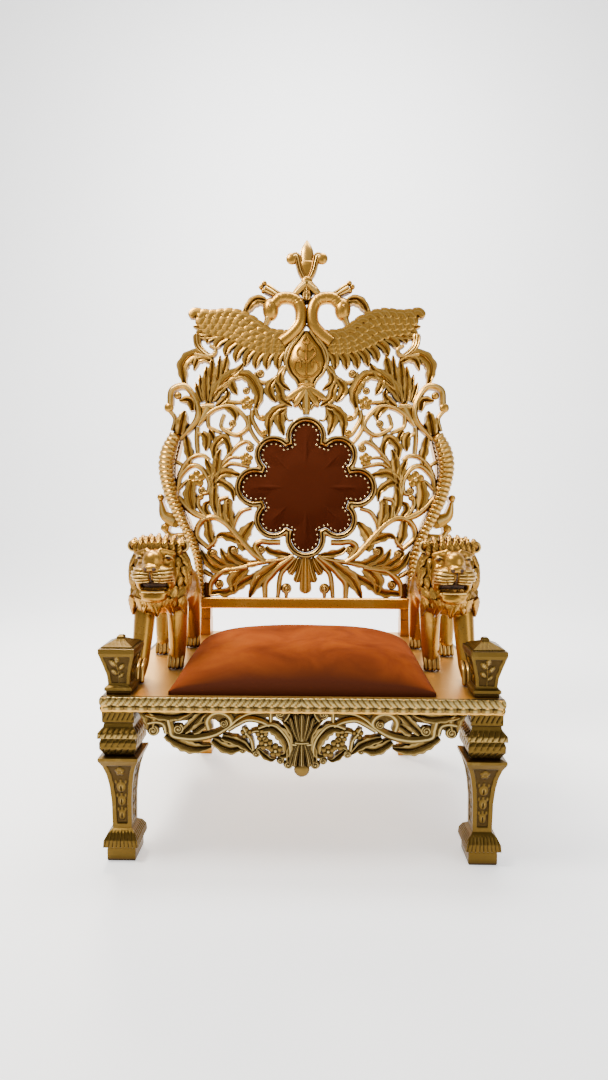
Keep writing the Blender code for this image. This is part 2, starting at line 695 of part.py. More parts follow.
def leg_profile():
    """Half widths of a front leg from the frieze block down to the foot."""
    top = RIM_BOTTOM - FIT
    block = LEG_BLOCK / 2
    foot = LEG_FOOT / 2
    shaft = LEG_SHAFT / 2
    collar = LEG_COLLAR / 2
    shares = [
        (block, 1.0), (block, 0.925), (foot, 0.915), (block * 0.95, 0.892), (block * 1.23, 0.862),
        (block * 1.25, 0.826), (block * 1.08, 0.818), (block * 1.16, 0.795), (block * 1.16, 0.755),
        (block * 0.95, 0.718), (block * 0.91, 0.706), (collar, 0.697), (collar, 0.680),
        (collar * 0.82, 0.635), (collar * 0.68, 0.575), (collar * 0.58, 0.500), (shaft, 0.400),
        (shaft * 0.95, 0.205), (foot * 0.95, 0.185), (foot * 1.18, 0.145), (foot * 1.22, 0.100),
        (foot * 0.98, 0.087), (foot, 0.070), (foot, 0.012), (foot * 0.95, 0.0),
    ]
    return [(half, share * top) for half, share in shares]


def corner_profile():
    """Half widths of a corner post from its knob down to its plinth."""
    base = SEAT_HEIGHT + FIT
    cap = POST_CAP / 2
    foot = POST_FOOT / 2
    shares = [
        (cap * 0.12, 1.0), (cap * 0.20, 0.975), (cap * 0.20, 0.94), (cap * 0.86, 0.845), (cap * 0.86, 0.825),
        (cap, 0.815), (cap, 0.735), (cap * 0.96, 0.700), (cap * 0.78, 0.500), (cap * 0.64, 0.330),
        (cap * 0.60, 0.170), (foot * 0.82, 0.150), (foot, 0.125), (foot, 0.075), (foot * 0.88, 0.055),
        (foot * 0.88, 0.0),
    ]
    return [(half, base + share * POST_HEIGHT) for half, share in shares]


def face_bosses(name, profile, centre, heights, half, collection):
    """Leaf bosses up the front of a square post, sunk into it."""
    bm = bmesh.new()
    tall = (max(heights) - min(heights)) / (len(heights) - 1) * 0.47
    for height in heights:
        out = half_width_at(profile, height)
        add_ball(bm, (centre[0], centre[1] - out, height), (half, 0.006, tall), 4, 4)
    return mesh_object(name, bm, collection)


def make_post(name, profile, side, heights, boss, look, collection):
    """A square turned corner piece with its carved leaves."""
    centre = (side * LEG_X, LEG_Y)
    post = square_turned(name, profile, centre, collection)
    bosses = face_bosses(name + "_leaves", profile, centre, heights, boss, collection)
    post = united(post, [bosses])
    give_finish(post, look)
    return post


def make_front_legs(collection):
    """Carved front legs with a column of leaves on the front and the outer face."""
    profile = leg_profile()
    low = RIM_BOTTOM * 0.24
    high = RIM_BOTTOM * 0.61
    heights = [low + (high - low) * step / 4 for step in range(5)]
    for name, side in (("front_leg_left", -1), ("front_leg_right", 1)):
        make_post(name, profile, side, heights, LEG_SHAFT * 0.24, DULL_GILT, collection)


def make_corner_posts(collection):
    """Vase-shaped posts over the front legs."""
    profile = corner_profile()
    heights = [SEAT_HEIGHT + POST_HEIGHT * share for share in (0.24, 0.42, 0.60)]
    for name, side in (("corner_post_left", -1), ("corner_post_right", 1)):
        make_post(name, profile, side, heights, POST_CAP * 0.14, DULL_GILT, collection)


def rim_edge(start, end, outward):
    """One edge of the rim: a notch between every two lobes."""
    start = np.array(start)
    end = np.array(end)
    lobes = max(1, round(float(np.hypot(*(end - start))) / RIM_LOBE))
    step = (end - start) / lobes
    points = []
    for lobe in range(lobes):
        points.append(start + step * (lobe + 0.5))
        points.append(start + step * (lobe + 1.0) - np.array(outward) * RIM_NOTCH)
    return [start + step * 0.1] + points[:-1] + [end - step * 0.1]


def make_seat_deck(collection):
    """The seat board with its lobed edge, notched at the back for the rear legs."""
    half = SEAT_WIDTH / 2
    outer = REAR_LEG_X + REAR_LEG / 2 + FIT
    inner = REAR_LEG_X - REAR_LEG / 2 - FIT
    front = BACK_FOOT - FIT
    outline = rim_edge((-half, 0.0), (half, 0.0), (0.0, -1.0))
    outline += rim_edge((half, 0.0), (half, SEAT_DEPTH), (1.0, 0.0))
    outline += [(outer, SEAT_DEPTH), (outer, front), (inner, front), (inner, SEAT_DEPTH)]
    outline += [(-inner, SEAT_DEPTH), (-inner, front), (-outer, front), (-outer, SEAT_DEPTH)]
    outline += rim_edge((-half, SEAT_DEPTH), (-half, 0.0), (-1.0, 0.0))
    deck = flat_carving("seat_deck", [outline], 1.0, RIM_BOTTOM, SEAT_HEIGHT, collection)
    give_finish(deck, PALE_GILT)
    return deck


def rear_leg_rings(side, leg_top):
    """Sections of a rear leg: upright inside, drawn in to a narrower foot outside."""
    inner = REAR_LEG_X - REAR_LEG / 2
    behind = BACK_FOOT + REAR_LEG
    rings = []
    for width, z in ((REAR_FOOT, 0.0), (REAR_LEG, RIM_BOTTOM - SIDE_APRON_DROP), (REAR_LEG, leg_top)):
        near = side * inner
        far = side * (inner + width)
        rings.append([(near, BACK_FOOT, z), (far, BACK_FOOT, z), (far, behind, z), (near, behind, z)])
    return rings


def make_back_posts(collection):
    """Rear legs that run up as leaning posts, shaped to the horns, with ears outside them."""
    leg_top = SEAT_HEIGHT + REAR_LEG
    frame = back_frame()
    behind = PLATE_BACK - FIT
    foot_line = -MEDALLION_RISE / CARVING_UNIT
    half = REAR_LEG / 2 / CARVING_UNIT
    centre = REAR_LEG_X / CARVING_UNIT
    for name, side in (("back_post_left", -1), ("back_post_right", 1)):
        drawing = Drawing((80, foot_line - 4), (156, 74))
        for x, y, width in smooth_path(HORN_LINE):
            drawing.add([(x, y, width / 2 - 0.5)])
        for stroke in POST_EARS:
            drawing.add(stroke_discs(stroke))
        drawing.add(EAR_BALLS)
        lower = np.maximum(
            np.abs(drawing.xs[None, :] - centre) - half, drawing.ys[:, None] + 96.0
        )
        drawing.field = np.minimum(drawing.field, lower)
        drawing.above(foot_line + 2.0)
        loops = [loop * np.array((side, 1.0)) for loop in drawing.outlines(0.8)]
        plate = flat_carving(name, loops, CARVING_UNIT, behind - POST_PLATE, behind, collection)
        stand_up(plate, frame)
        bm = bmesh.new()
        lofted_rings(bm, rear_leg_rings(side, leg_top))
        leg = mesh_object(name + "_leg", bm, collection)
        post = united(plate, [leg])
        give_finish(post, GILT)


def make_back_rail(collection):
    """The plain lower rail across the front of the posts."""
    half = RAIL_HALF * CARVING_UNIT
    low = RAIL_FOOT * CARVING_UNIT
    high = RAIL_TOP * CARVING_UNIT - FIT
    bm = bmesh.new()
    add_box(bm, (-half, low, PLATE_BACK), (half, high, FRET_FRONT + 0.006))
    rail = stand_up(mesh_object("back_rail", bm, collection), back_frame())
    edges = rail.modifiers.new("soft edges", "BEVEL")
    edges.width = 0.004
    edges.segments = 1
    rail = apply_all(rail)
    give_finish(rail, GILT)


def horn_outline_discs():
    """The room that a horn with its crook takes on the drawing."""
    discs = [(x, y, width / 2 + 0.4) for x, y, width in smooth_path(HORN_LINE, 10)]
    for stroke in HORN_CROOK:
        discs += stroke_discs(stroke)
    return discs + HORN_BALLS


def horn_sections():
    """Centre, direction and half width along a horn, two to a rib."""
    path = smooth_path(HORN_LINE, 12)
    lengths = np.concatenate([[0.0], np.cumsum(np.hypot(*np.diff(path[:, :2], axis=0).T))])
    sections = []
    for ring in range(2 * HORN_RIBS + 1):
        at = lengths[-1] * ring / (2 * HORN_RIBS)
        x, y, width = (float(np.interp(at, lengths, path[:, column])) for column in range(3))
        ahead = [float(np.interp(min(at + 1, lengths[-1]), lengths, path[:, column])) for column in (0, 1)]
        behind = [float(np.interp(max(at - 1, 0), lengths, path[:, column])) for column in (0, 1)]
        along = Vector((ahead[0] - behind[0], ahead[1] - behind[1])).normalized()
        waist = 0.84 if ring % 2 == 0 else 1.0
        sections.append((Vector((x, y)), along, width / 2 * waist))
    return sections


def add_horn(bm, side):
    """A ribbed horn: six-sided rings lofted along the middle line."""
    middle = (HORN_FRONT + PLATE_BACK) / 2
    depth = (HORN_FRONT - PLATE_BACK) / 2
    rings = []
    for centre, along, half in horn_sections():
        across = Vector((-along.y, along.x))
        ring = []
        for corner in range(6):
            turn = math.pi / 3 * corner + math.pi / 6
            flat = centre + across * half * math.cos(turn) / math.cos(math.pi / 6)
            out = middle + depth * math.sin(turn)
            ring.append((side * flat.x * CARVING_UNIT, flat.y * CARVING_UNIT, out))
        rings.append(ring)
    lofted_rings(bm, rings)


def make_horns(collection):
    """The ribbed side horns with their crooked heads."""
    for name, side in (("horn_left", -1), ("horn_right", 1)):
        bm = bmesh.new()
        add_horn(bm, side)
        horn = mesh_object(name, bm, collection)
        drawing = Drawing((100, 36), (146, 108), 0.7)
        for stroke in HORN_CROOK:
            drawing.add(stroke_discs(stroke))
        drawing.add(HORN_BALLS)
        loops = [loop * np.array((side, 1.0)) for loop in drawing.outlines(0.8)]
        crook = flat_carving(
            name + "_crook", loops, CARVING_UNIT, PLATE_BACK, FRET_FRONT + 0.012, collection
        )
        horn = united(horn, [crook])
        stand_up(horn, back_frame())
        give_finish(horn, GILT)


def feather_discs():
    """Long feathers of the lowest row, root to tip."""
    roots = smooth_path(FEATHER_ROOTS)
    tips = smooth_path(FEATHER_TIPS)
    discs = []
    for feather in range(FEATHERS):
        at = round(feather * (len(roots) - 1) / (FEATHERS - 1))
        for step in range(6):
            place = roots[at] + (tips[at] - roots[at]) * step / 5
            discs.append((*place, FEATHER_WIDTH / 2))
    return discs


def scale_discs(count, radius, points):
    """Round scales in a row along a curve, with the strip that joins them."""
    path = smooth_path(points, 10)
    picks = [path[round(step * (len(path) - 1) / (count - 1))] for step in range(count)]
    strip = [(x, y + radius * 0.35, radius * 0.8) for x, y in path]
    return strip + [(x, y, radius) for x, y in picks]


def crest_layers():
    """The discs of the crest's two layers, the lower first, on the right half."""
    middle = stroke_discs(WING_EDGE)
    for row in SCALE_ROWS:
        middle += scale_discs(*row)
    low = middle + feather_discs() + stroke_discs(SWAN_NECK) + CREST_BALLS
    for stroke in CREST_STROKES:
        low += stroke_discs(stroke)
    low += [(0.0, y, half) for half, y in DROP_OUTLINE + SPEAR]
    low += [(0.0, y, half * 0.9) for half, y in smooth_path(DROP_OUTLINE)]
    low += [(0.0, y, half) for half, y in smooth_path(SPEAR)]
    return low, middle


def crest_drawing(discs, grow=0.0):
    """The crest's discs on both sides as one drawing."""
    return Drawing((-118, 66), (118, 252)).add(both_sides(discs), grow)


def swan_necks(collection):
    """Both swan necks as round tubes, each ending in its head."""
    radius = SWAN_NECK[1] / 2 * CARVING_UNIT
    pieces = []
    for side in (-1, 1):
        path = [
            Vector((side * x * CARVING_UNIT, y * CARVING_UNIT, NECK_RISE)) for x, y in SWAN_NECK[2]
        ]
        rings = []
        for index, centre in enumerate(path):
            along = path[min(index + 1, len(path) - 1)] - path[max(index - 1, 0)]
            across = Vector((-along.y, along.x, 0.0)).normalized()
            out = Vector((0.0, 0.0, 1.0))
            turns = [2 * math.pi * (step + 0.5) / NECK_SIDES for step in range(NECK_SIDES)]
            rings.append([
                centre + across * radius * math.cos(turn) + out * radius * math.sin(turn) for turn in turns
            ])
        bm = bmesh.new()
        lofted_rings(bm, rings)
        pieces.append(mesh_object("neck", bm, collection))
        bm = bmesh.new()
        x, y, half = SWAN_HEAD
        add_ball(
            bm, (side * x * CARVING_UNIT, y * CARVING_UNIT, NECK_RISE),
            (half * CARVING_UNIT, half * 1.5 * CARVING_UNIT, radius * 1.1), 6, 4,
        )
        pieces.append(mesh_object("head", bm, collection))
    return pieces


def turned_body(name, outline, depth, steps, collection):
    """A body turned round the middle line from (half width, y) rows, flattened to a depth."""
    widest = max(half for half, _ in outline) * CARVING_UNIT
    bm = bmesh.new()
    rows = [(0.0, outline[0][1])] + list(outline) + [(0.0, outline[-1][1])]
    verts = [bm.verts.new((half * CARVING_UNIT, y * CARVING_UNIT, 0.0)) for half, y in rows]
    for upper, lower in zip(verts, verts[1:]):
        bm.edges.new((upper, lower))
    thing = mesh_object(name, bm, collection)
    turn = thing.modifiers.new("turning", "SCREW")
    turn.axis = "Y"
    turn.steps = steps
    turn.render_steps = steps
    turn.use_merge_vertices = True
    turn.merge_threshold = 0.00001
    turned = apply_all(thing)
    for vert in turned.data.vertices:
        vert.co.z = vert.co.z * depth / widest
    return turned


def make_crest(collection):
    """Two swans with spread wings round a drop, with a spear finial over them."""
    low, middle = crest_layers()
    crest = flat_carving(
        "swan_crest", crest_drawing(low).outlines(1.5), CARVING_UNIT, PLATE_BACK, 0.006, collection
    )
    layers = []
    for loop in both_outlines(middle, 0.9):
        layers.append(flat_carving("crest_layer", [loop], CARVING_UNIT, -0.004, 0.013, collection))
    layers.append(turned_body("crest_drop", DROP_OUTLINE, DROP_DEPTH, 8, collection))
    layers.append(turned_body("crest_spear", SPEAR, DROP_DEPTH / 2, 6, collection))
    layers += swan_necks(collection)
    crest = united(crest, layers)
    stand_up(crest, back_frame())
    give_finish(crest, GILT)


def both_outlines(discs, shrink):
    """The outline of a wing's layer, on each side."""
    outer = Drawing((0, 66), (118, 252)).add(discs, -shrink).outlines(1.3)[0]
    return [outer, outer * np.array((-1.0, 1.0))]


def make_fret(collection):
    """The openwork scroll panel with the lobed frame of the medallion."""
    fret = Drawing((-136, -114), (136, 162))
    for stroke in FRET_STROKES:
        fret.add(both_sides(stroke_discs(stroke)), 0.35)
    fret.add(both_sides(FRET_BALLS), 0.2)
    fret.add(medallion_discs())
    horns = Drawing((-136, -114), (136, 162)).add(both_sides(horn_outline_discs()))
    crest = Drawing((-136, -114), (136, 162)).add(both_sides(crest_layers()[0]), 0.9)
    gap = 2 * FIT / CARVING_UNIT
    fret.cut(horns, gap + 0.6).cut(crest, gap).above(RAIL_TOP)
    opening = np.array([point[:2] for point in medallion_ring(MEDALLION_RIM, 0.0)]) / CARVING_UNIT
    loops = fret.outlines(1.5, 38.0) + [opening]
    panel = flat_carving("fret_panel", loops, CARVING_UNIT, PLATE_BACK, FRET_FRONT - 0.004, collection)
    stand_up(panel, back_frame())
    give_finish(panel, GILT)


def medallion_radius(turn, inset):
    """How far the medallion's edge, moved in by an inset, is from its middle in a direction."""
    reach = 0.0
    for x, y, radius in medallion_discs():
        radius = radius - inset
        along = x * math.cos(turn) + y * math.sin(turn)
        across = abs(-x * math.sin(turn) + y * math.cos(turn))
        if across < radius:
            reach = max(reach, along + math.sqrt(radius ** 2 - across ** 2))
    return reach * CARVING_UNIT


def lofted_rings(bm, rings):
    """Join rings of points into a skin with filled ends."""
    loops = [[bm.verts.new(point) for point in ring] for ring in rings]
    for ring, after in zip(loops, loops[1:]):
        for index in range(len(ring)):
            following = (index + 1) % len(ring)
            bm.faces.new((ring[index], ring[following], after[following], after[index]))
    bm.faces.new(loops[0])
    bm.faces.new(loops[-1])
    bmesh.ops.recalc_face_normals(bm, faces=bm.faces)


def medallion_ring(inset, out):
    """One ring of points round the medallion."""
    turns = [2 * math.pi * step / MEDALLION_STEPS for step in range(MEDALLION_STEPS)]
    return [
        (medallion_radius(turn, inset) * math.cos(turn), medallion_radius(turn, inset) * math.sin(turn), out)
        for turn in turns
    ]


def make_pad(collection):
    """The stuffed pad inside the medallion, a little crowned."""
    gap = 2 * FIT / CARVING_UNIT
    base = PLATE_BACK + 0.001
    section = [
        (MEDALLION_RIM + gap, base), (MEDALLION_RIM + gap, base + PAD_THICKNESS * 0.65),
        (MEDALLION_RIM + 8, base + PAD_THICKNESS * 0.90), (MEDALLION_RIM + 24, base + PAD_THICKNESS),
    ]
    bm = bmesh.new()
    rings = []
    for inset, out in section:
        if inset > MEDALLION_RIM + 4:
            share = 1 - (inset - MEDALLION_RIM - 3) / 50
            rings.append([(x * share, y * share, out) for x, y, _ in medallion_ring(MEDALLION_RIM + 3, out)])
        else:
            rings.append(medallion_ring(inset, out))
    lofted_rings(bm, rings)
    pad = stand_up(mesh_object("medallion_pad", bm, collection), back_frame())
    give_finish(pad, DARK_SUEDE)


def rounded_plan(half_x, front, back, front_radius, back_radius, inset, height):
    """A ring round a cushion's plan with its own front and back corner radii."""
    corners = [
        (half_x, back, back_radius, 0.0), (-half_x, back, back_radius, 0.5),
        (-half_x, front, front_radius, 1.0), (half_x, front, front_radius, 1.5),
    ]
    ring = []
    for x, y, radius, turn in corners:
        centre_x = x - math.copysign(radius, x)
        centre_y = y - radius if turn < 1.0 else y + radius
        for step in range(5):
            angle = math.pi * (turn + step / 8)
            reach = max(radius - inset, 0.002)
            slip = max(inset - radius + 0.002, 0.0)
            ring.append((
                centre_x - math.copysign(slip, x) + reach * math.cos(angle),
                centre_y + (-slip if turn < 1.0 else slip) + reach * math.sin(angle),
                height,
            ))
    return ring


def make_cushion(collection):
    """The seat cushion: straight in front, round at the back corners, crowned."""
    half = LION_X - (LION_HALF_STANCE + 2.0) * LION_SCALE - CUSHION_SIDE_GAP
    base = SEAT_HEIGHT + FIT
    front = CUSHION_SETBACK
    back = CUSHION_SETBACK + CUSHION_DEPTH
    levels = [
        (0.004, 0.0), (0.0, 0.12), (0.002, 0.40), (0.018, 0.64), (0.060, 0.86), (0.150, 1.0),
    ]
    rings = [
        rounded_plan(half, front, back, 0.022, 0.105, inset, base + share * CUSHION_HEIGHT)
        for inset, share in levels
    ]
    bm = bmesh.new()
    lofted_rings(bm, rings)
    cushion = mesh_object("seat_cushion", bm, collection)
    give_finish(cushion, SUEDE)


def make_front_apron(collection):
    """The openwork apron between the front legs."""
    half = LEG_X - LEG_BLOCK / 2 * 1.25 - FIT
    unit = half / APRON_HALF
    edge = half / unit
    drawing = Drawing((-edge - 2, -76), (edge + 2, 3), 0.7)
    for stroke in APRON_STROKES:
        drawing.add(both_sides(stroke_discs(stroke)), 0.3)
    drawing.add(both_sides(APRON_BALLS))
    drawing.below(-FIT / unit)
    drawing.field = np.maximum(drawing.field, np.abs(drawing.xs[None, :]) - edge)
    apron = flat_carving(
        "front_apron", drawing.outlines(1.6, 34.0), unit, 0.0, APRON_THICKNESS, collection
    )
    place = Matrix.Translation((0.0, APRON_SETBACK + APRON_THICKNESS, RIM_BOTTOM))
    stand_up(apron, place @ Matrix.Rotation(math.pi / 2, 4, "X"))
    give_finish(apron, DULL_GILT)


def shaped_board(name, length, drop, lobes, thickness, frame, collection):
    """A plain board with a lobed lower edge."""
    steps = lobes * 4
    lower = []
    for step in range(steps + 1):
        t = step / steps
        wave = 0.72 + 0.28 * abs(math.sin(math.pi * lobes * t))
        lower.append((length * (t - 0.5), -drop * wave))
    outline = [(-length / 2, -FIT)] + lower + [(length / 2, -FIT)]
    board = flat_carving(name, [outline], 1.0, 0.0, thickness, collection)
    stand_up(board, frame)
    give_finish(board, DULL_GILT)


def make_plain_aprons(collection):
    """Side aprons behind the front legs and the board that joins them at the rear legs."""
    thickness = APRON_THICKNESS
    back_front = BACK_FOOT - FIT - thickness
    start = LEG_Y + LEG_BLOCK / 2 * 1.25 + FIT
    length = back_front - FIT - start
    outer = LEG_X + LEG_BLOCK / 2 - 0.012
    for name, side in (("side_apron_left", -1), ("side_apron_right", 1)):
        near = outer if side > 0 else -outer + thickness
        turn = Matrix.Rotation(math.pi / 2, 4, "Z") @ Matrix.Rotation(math.pi / 2, 4, "X")
        place = Matrix.Translation((near - thickness, start + length / 2, RIM_BOTTOM))
        shaped_board(name, length, SIDE_APRON_DROP, 3, thickness, place @ turn, collection)
    place = Matrix.Translation((0.0, back_front + thickness, RIM_BOTTOM)) @ Matrix.Rotation(math.pi / 2, 4, "X")
    shaped_board("back_apron", 2 * outer, SIDE_APRON_DROP, 5, thickness, place, collection)


def lion_body(bm):
    """The lion's masses in millimetres, facing -y, with -x the outer side of the left one."""
    add_limb(bm, (0, -50, 232), (0, 160, 222), 70, 66)
    add_ball(bm, (0, 165, 205), (70, 72, 86))
    add_ball(bm, (0, -70, 292), (92, 76, 112), 12, 8)
    add_ball(bm, (0, -92, 235), (86, 66, 58), 12, 8)
    legs = [
        ((-46, -95, 190), (-44, -170, 34), (-44, -186)), ((46, -70, 190), (38, -58, 34), (38, -44)),
        ((-42, 140, 190), (-42, 104, 34), (-42, 118)), ((40, 170, 190), (40, 196, 34), (40, 212)),
    ]
    for shoulder, ankle, paw in legs:
        add_limb(bm, shoulder, ankle, 34, 23)
        add_ball(bm, (paw[0], paw[1] - 8, 17), (26, 38, 20))
        add_box(bm, (paw[0] - 21, paw[1] - 36, 0), (paw[0] + 21, paw[1] + 22, 12))
    add_limb(bm, (0, 228, 220), (26, 246, 120), 13, 12)
    add_limb(bm, (26, 246, 120), (16, 238, 44), 12, 18)


def lion_head(bm):
    """Head, open mouth, brows, ears and the crown of locks."""
    add_ball(bm, (0, -118, 328), (64, 66, 66), 12, 8)
    add_box(bm, (-52, -192, 292), (52, -120, 334))
    add_ball(bm, (-34, -178, 314), (26, 26, 26))
    add_ball(bm, (34, -178, 314), (26, 26, 26))
    add_limb(bm, (0, -188, 338), (0, -150, 372), 19, 24)
    add_box(bm, (-46, -190, 232), (46, -110, 258))
    add_ball(bm, (0, -160, 238), (46, 34, 20))
    for side in (-1, 1):
        add_ball(bm, (side * 30, -158, 378), (26, 14, 12))
        add_ball(bm, (side * 78, -98, 372), (17, 12, 20))
        add_ball(bm, (side * 56, -130, 300), (24, 34, 46))
    for lock in range(7):
        turn = math.pi * (0.16 + 0.68 * lock / 6)
        add_ball(bm, (78 * math.cos(turn), -104, 336 + 66 * math.sin(turn)), (17, 20, 17), 8, 6)


def make_lions(collection):
    """Standing lions on the sides of the seat, the right one an exact mirror of the left."""
    bm = bmesh.new()
    lion_body(bm)
    lion_head(bm)
    full_size = Matrix.Diagonal((LION_SCALE, LION_SCALE, LION_SCALE, 1.0))
    bmesh.ops.transform(bm, matrix=full_size, verts=bm.verts)
    left = mesh_object("lion_left", bm, collection)
    left.matrix_world = Matrix.Translation((-LION_X, LION_FROM_FRONT, SEAT_HEIGHT + FIT))
    skin = left.modifiers.new("one skin", "REMESH")
    skin.mode = "VOXEL"
    skin.voxel_size = 0.0065 * LION_HEIGHT / 0.412
    fewer = left.modifiers.new("fewer faces", "DECIMATE")
    fewer.ratio = 0.022
    left = apply_all(left)
    stand_flat(left, SEAT_HEIGHT + FIT)
    give_finish(left, GILT)
    bm = bmesh.new()
    bm.from_mesh(left.data)
    mirror = Matrix.Diagonal((-1.0, 1.0, 1.0, 1.0)) @ left.matrix_world
    bmesh.ops.transform(bm, matrix=mirror, verts=bm.verts)
    bmesh.ops.reverse_faces(bm, faces=bm.faces)
    right = mesh_object("lion_right", bm, collection)
    give_finish(right, GILT)


def stand_flat(thing, level):
    """Press the lowest points of a carved figure onto the level it stands on."""
    frame = thing.matrix_world
    for vert in thing.data.vertices:
        place = frame @ vert.co
        if place.z < level + 0.004:
            place.z = level
            vert.co = frame.inverted() @ place


def centre_on_floor(collection):
    """Move the whole throne so that the origin is under the middle of its box."""
    low = Vector((1e9, 1e9, 1e9))
    high = -low
    bpy.context.view_layer.update()
    for thing in collection.objects:
        for vert in thing.data.vertices:
            place = thing.matrix_world @ vert.co
            low = Vector(map(min, low, place))
            high = Vector(map(max, high, place))
    carrier = bpy.data.objects.new("throne_carrier", None)
    collection.objects.link(carrier)
    for thing in collection.objects:
        if thing is not carrier:
            thing.parent = carrier
    carrier.location = (-(low.x + high.x) / 2, -(low.y + high.y) / 2, -low.z)
    bpy.context.view_layer.update()


def build():
    """Make every piece of the throne."""
    clear_scene()
    collection = make_collection(NAME)
    make_seat_deck(collection)
    make_front_legs(collection)
    make_corner_posts(collection)
    make_back_posts(collection)
    make_back_rail(collection)
    make_front_apron(collection)
    make_plain_aprons(collection)
    make_horns(collection)
    make_fret(collection)
    make_crest(collection)
    make_pad(collection)
    make_cushion(collection)
    make_lions(collection)
    centre_on_floor(collection)


build()
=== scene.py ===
"""The looks of a carved gilt lion throne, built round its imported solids.

Metres, +Z up, the front along -Y. The sizes and the carving drawings are the solids' own.
"""

import json
import math

import bmesh
import bpy
import numpy as np
from mathutils import Matrix, Vector

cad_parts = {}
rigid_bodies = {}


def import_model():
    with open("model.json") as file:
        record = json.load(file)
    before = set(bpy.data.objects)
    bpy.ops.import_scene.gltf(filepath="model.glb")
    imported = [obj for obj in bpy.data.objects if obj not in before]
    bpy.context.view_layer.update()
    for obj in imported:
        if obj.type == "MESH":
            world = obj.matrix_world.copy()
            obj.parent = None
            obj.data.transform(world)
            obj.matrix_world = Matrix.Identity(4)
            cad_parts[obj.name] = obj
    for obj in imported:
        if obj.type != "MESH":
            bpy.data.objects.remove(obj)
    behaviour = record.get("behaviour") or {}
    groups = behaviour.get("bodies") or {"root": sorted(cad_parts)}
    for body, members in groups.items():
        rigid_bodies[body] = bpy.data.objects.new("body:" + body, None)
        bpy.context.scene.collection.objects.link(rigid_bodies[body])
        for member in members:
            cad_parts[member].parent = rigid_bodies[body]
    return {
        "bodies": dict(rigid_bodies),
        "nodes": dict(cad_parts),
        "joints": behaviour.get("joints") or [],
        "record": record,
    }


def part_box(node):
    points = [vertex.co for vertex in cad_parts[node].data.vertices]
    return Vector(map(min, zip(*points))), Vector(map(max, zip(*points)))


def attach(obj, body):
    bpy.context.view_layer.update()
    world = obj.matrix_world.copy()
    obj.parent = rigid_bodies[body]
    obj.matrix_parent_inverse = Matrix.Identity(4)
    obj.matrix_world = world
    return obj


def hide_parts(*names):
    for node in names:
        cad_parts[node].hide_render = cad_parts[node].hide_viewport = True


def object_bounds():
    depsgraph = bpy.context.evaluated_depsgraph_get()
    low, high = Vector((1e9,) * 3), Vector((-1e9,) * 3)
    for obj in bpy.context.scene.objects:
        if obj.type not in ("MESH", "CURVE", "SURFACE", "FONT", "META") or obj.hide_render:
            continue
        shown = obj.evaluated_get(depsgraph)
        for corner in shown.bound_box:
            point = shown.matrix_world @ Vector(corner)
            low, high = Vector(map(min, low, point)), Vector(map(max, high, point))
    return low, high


# Clearance between neighbouring pieces
FIT = 0.0003

# Seat
SEAT_WIDTH = 1.07
SEAT_DEPTH = 0.753
SEAT_HEIGHT = 0.465
RIM_HEIGHT = 0.040
RIM_LOBE = 0.0311

# Front legs and the corner posts above them
LEG_INSET = 0.043
LEG_BLOCK = 0.086
LEG_FOOT = 0.078
LEG_SHAFT = 0.055
LEG_COLLAR = 0.108
LEG_SETBACK = 0.012
LEG_SWELL = 1.25
POST_HEIGHT = 0.156
POST_CAP = 0.096
POST_FOOT = 0.074

# Back
BACK_LEAN = math.atan(0.095)
BACK_FOOT = 0.687
PLATE_BACK = -0.012
HORN_FRONT = 0.042
RAIL_HEIGHT = 0.040
RAIL_LIFT = 0.105
CARVING_UNIT = 0.003765

# Front apron
APRON_THICKNESS = 0.026
APRON_SETBACK = 0.030
APRON_RELIEF = 0.0135

# Upholstery
PAD_THICKNESS = 0.024

# Lions
LION_HEIGHT = 0.412
LION_FROM_FRONT = 0.330
LION_DRAWN_HEIGHT = 412.0
LION_EDGE = 0.105

# Places that follow from the sizes above
LEG_X = SEAT_WIDTH / 2 - LEG_INSET
LEG_Y = LEG_SETBACK + LEG_BLOCK / 2
RIM_BOTTOM = SEAT_HEIGHT - RIM_HEIGHT
LION_X = SEAT_WIDTH / 2 - LION_EDGE
LION_SCALE = LION_HEIGHT / LION_DRAWN_HEIGHT

# The back is drawn on its leaning plane in carving units, x across and y up from the middle of
# the medallion. Its lower rail's underside is at RAIL_FOOT.
RAIL_TOP = -110.0
RAIL_FOOT = RAIL_TOP - RAIL_HEIGHT / CARVING_UNIT
MEDALLION_RISE = RAIL_LIFT / math.cos(BACK_LEAN) - RAIL_FOOT * CARVING_UNIT

# Medallion: round lobes on the axes and between them
AXIS_LOBE = (50.7, 20.5)
DIAGONAL_LOBE = (45.5, 19.7)
MEDALLION_RIM = 6.0

# Horn: the middle line with its full width, from the crook down to the rail
HORN_LINE = [
    (130, 52, 12), (137, 34, 17), (139, 16, 16), (134, -8, 14), (126, -27, 12),
    (116, -47, 10), (108, -67, 9.5), (104.5, -90, 8.5), (104.5, -109.9, 8.5),
]

# Carving strokes on the right half: kind, full width, then the middle line from root to tip.
# A leaf swells and ends in a point, a stem keeps its width, a tail thins out, a lobe ends round.
HORN_CROOK = [
    ("stem", 6.5, [(136, 82), (134, 97), (120, 100), (109, 82), (110, 66), (126, 48)]),
    ("stem", 4.5, [(138, 78), (131, 68), (134, 56)]),
    ("leaf", 8, [(113, 76), (116, 86), (127, 86)]),
    ("leaf", 11, [(126, 52), (124, 64), (121, 76)]),
]
HORN_BALLS = [(137, 79, 5.0), (128, 91, 4.0)]

POST_EARS = [
    ("tail", 14, [(132, -34), (143, -28), (146.5, -14)]),
    ("tail", 12, [(122, -52), (136, -50), (142, -42)]),
]
EAR_BALLS = [(146.5, -10, 3.6), (142, -41, 4.6)]

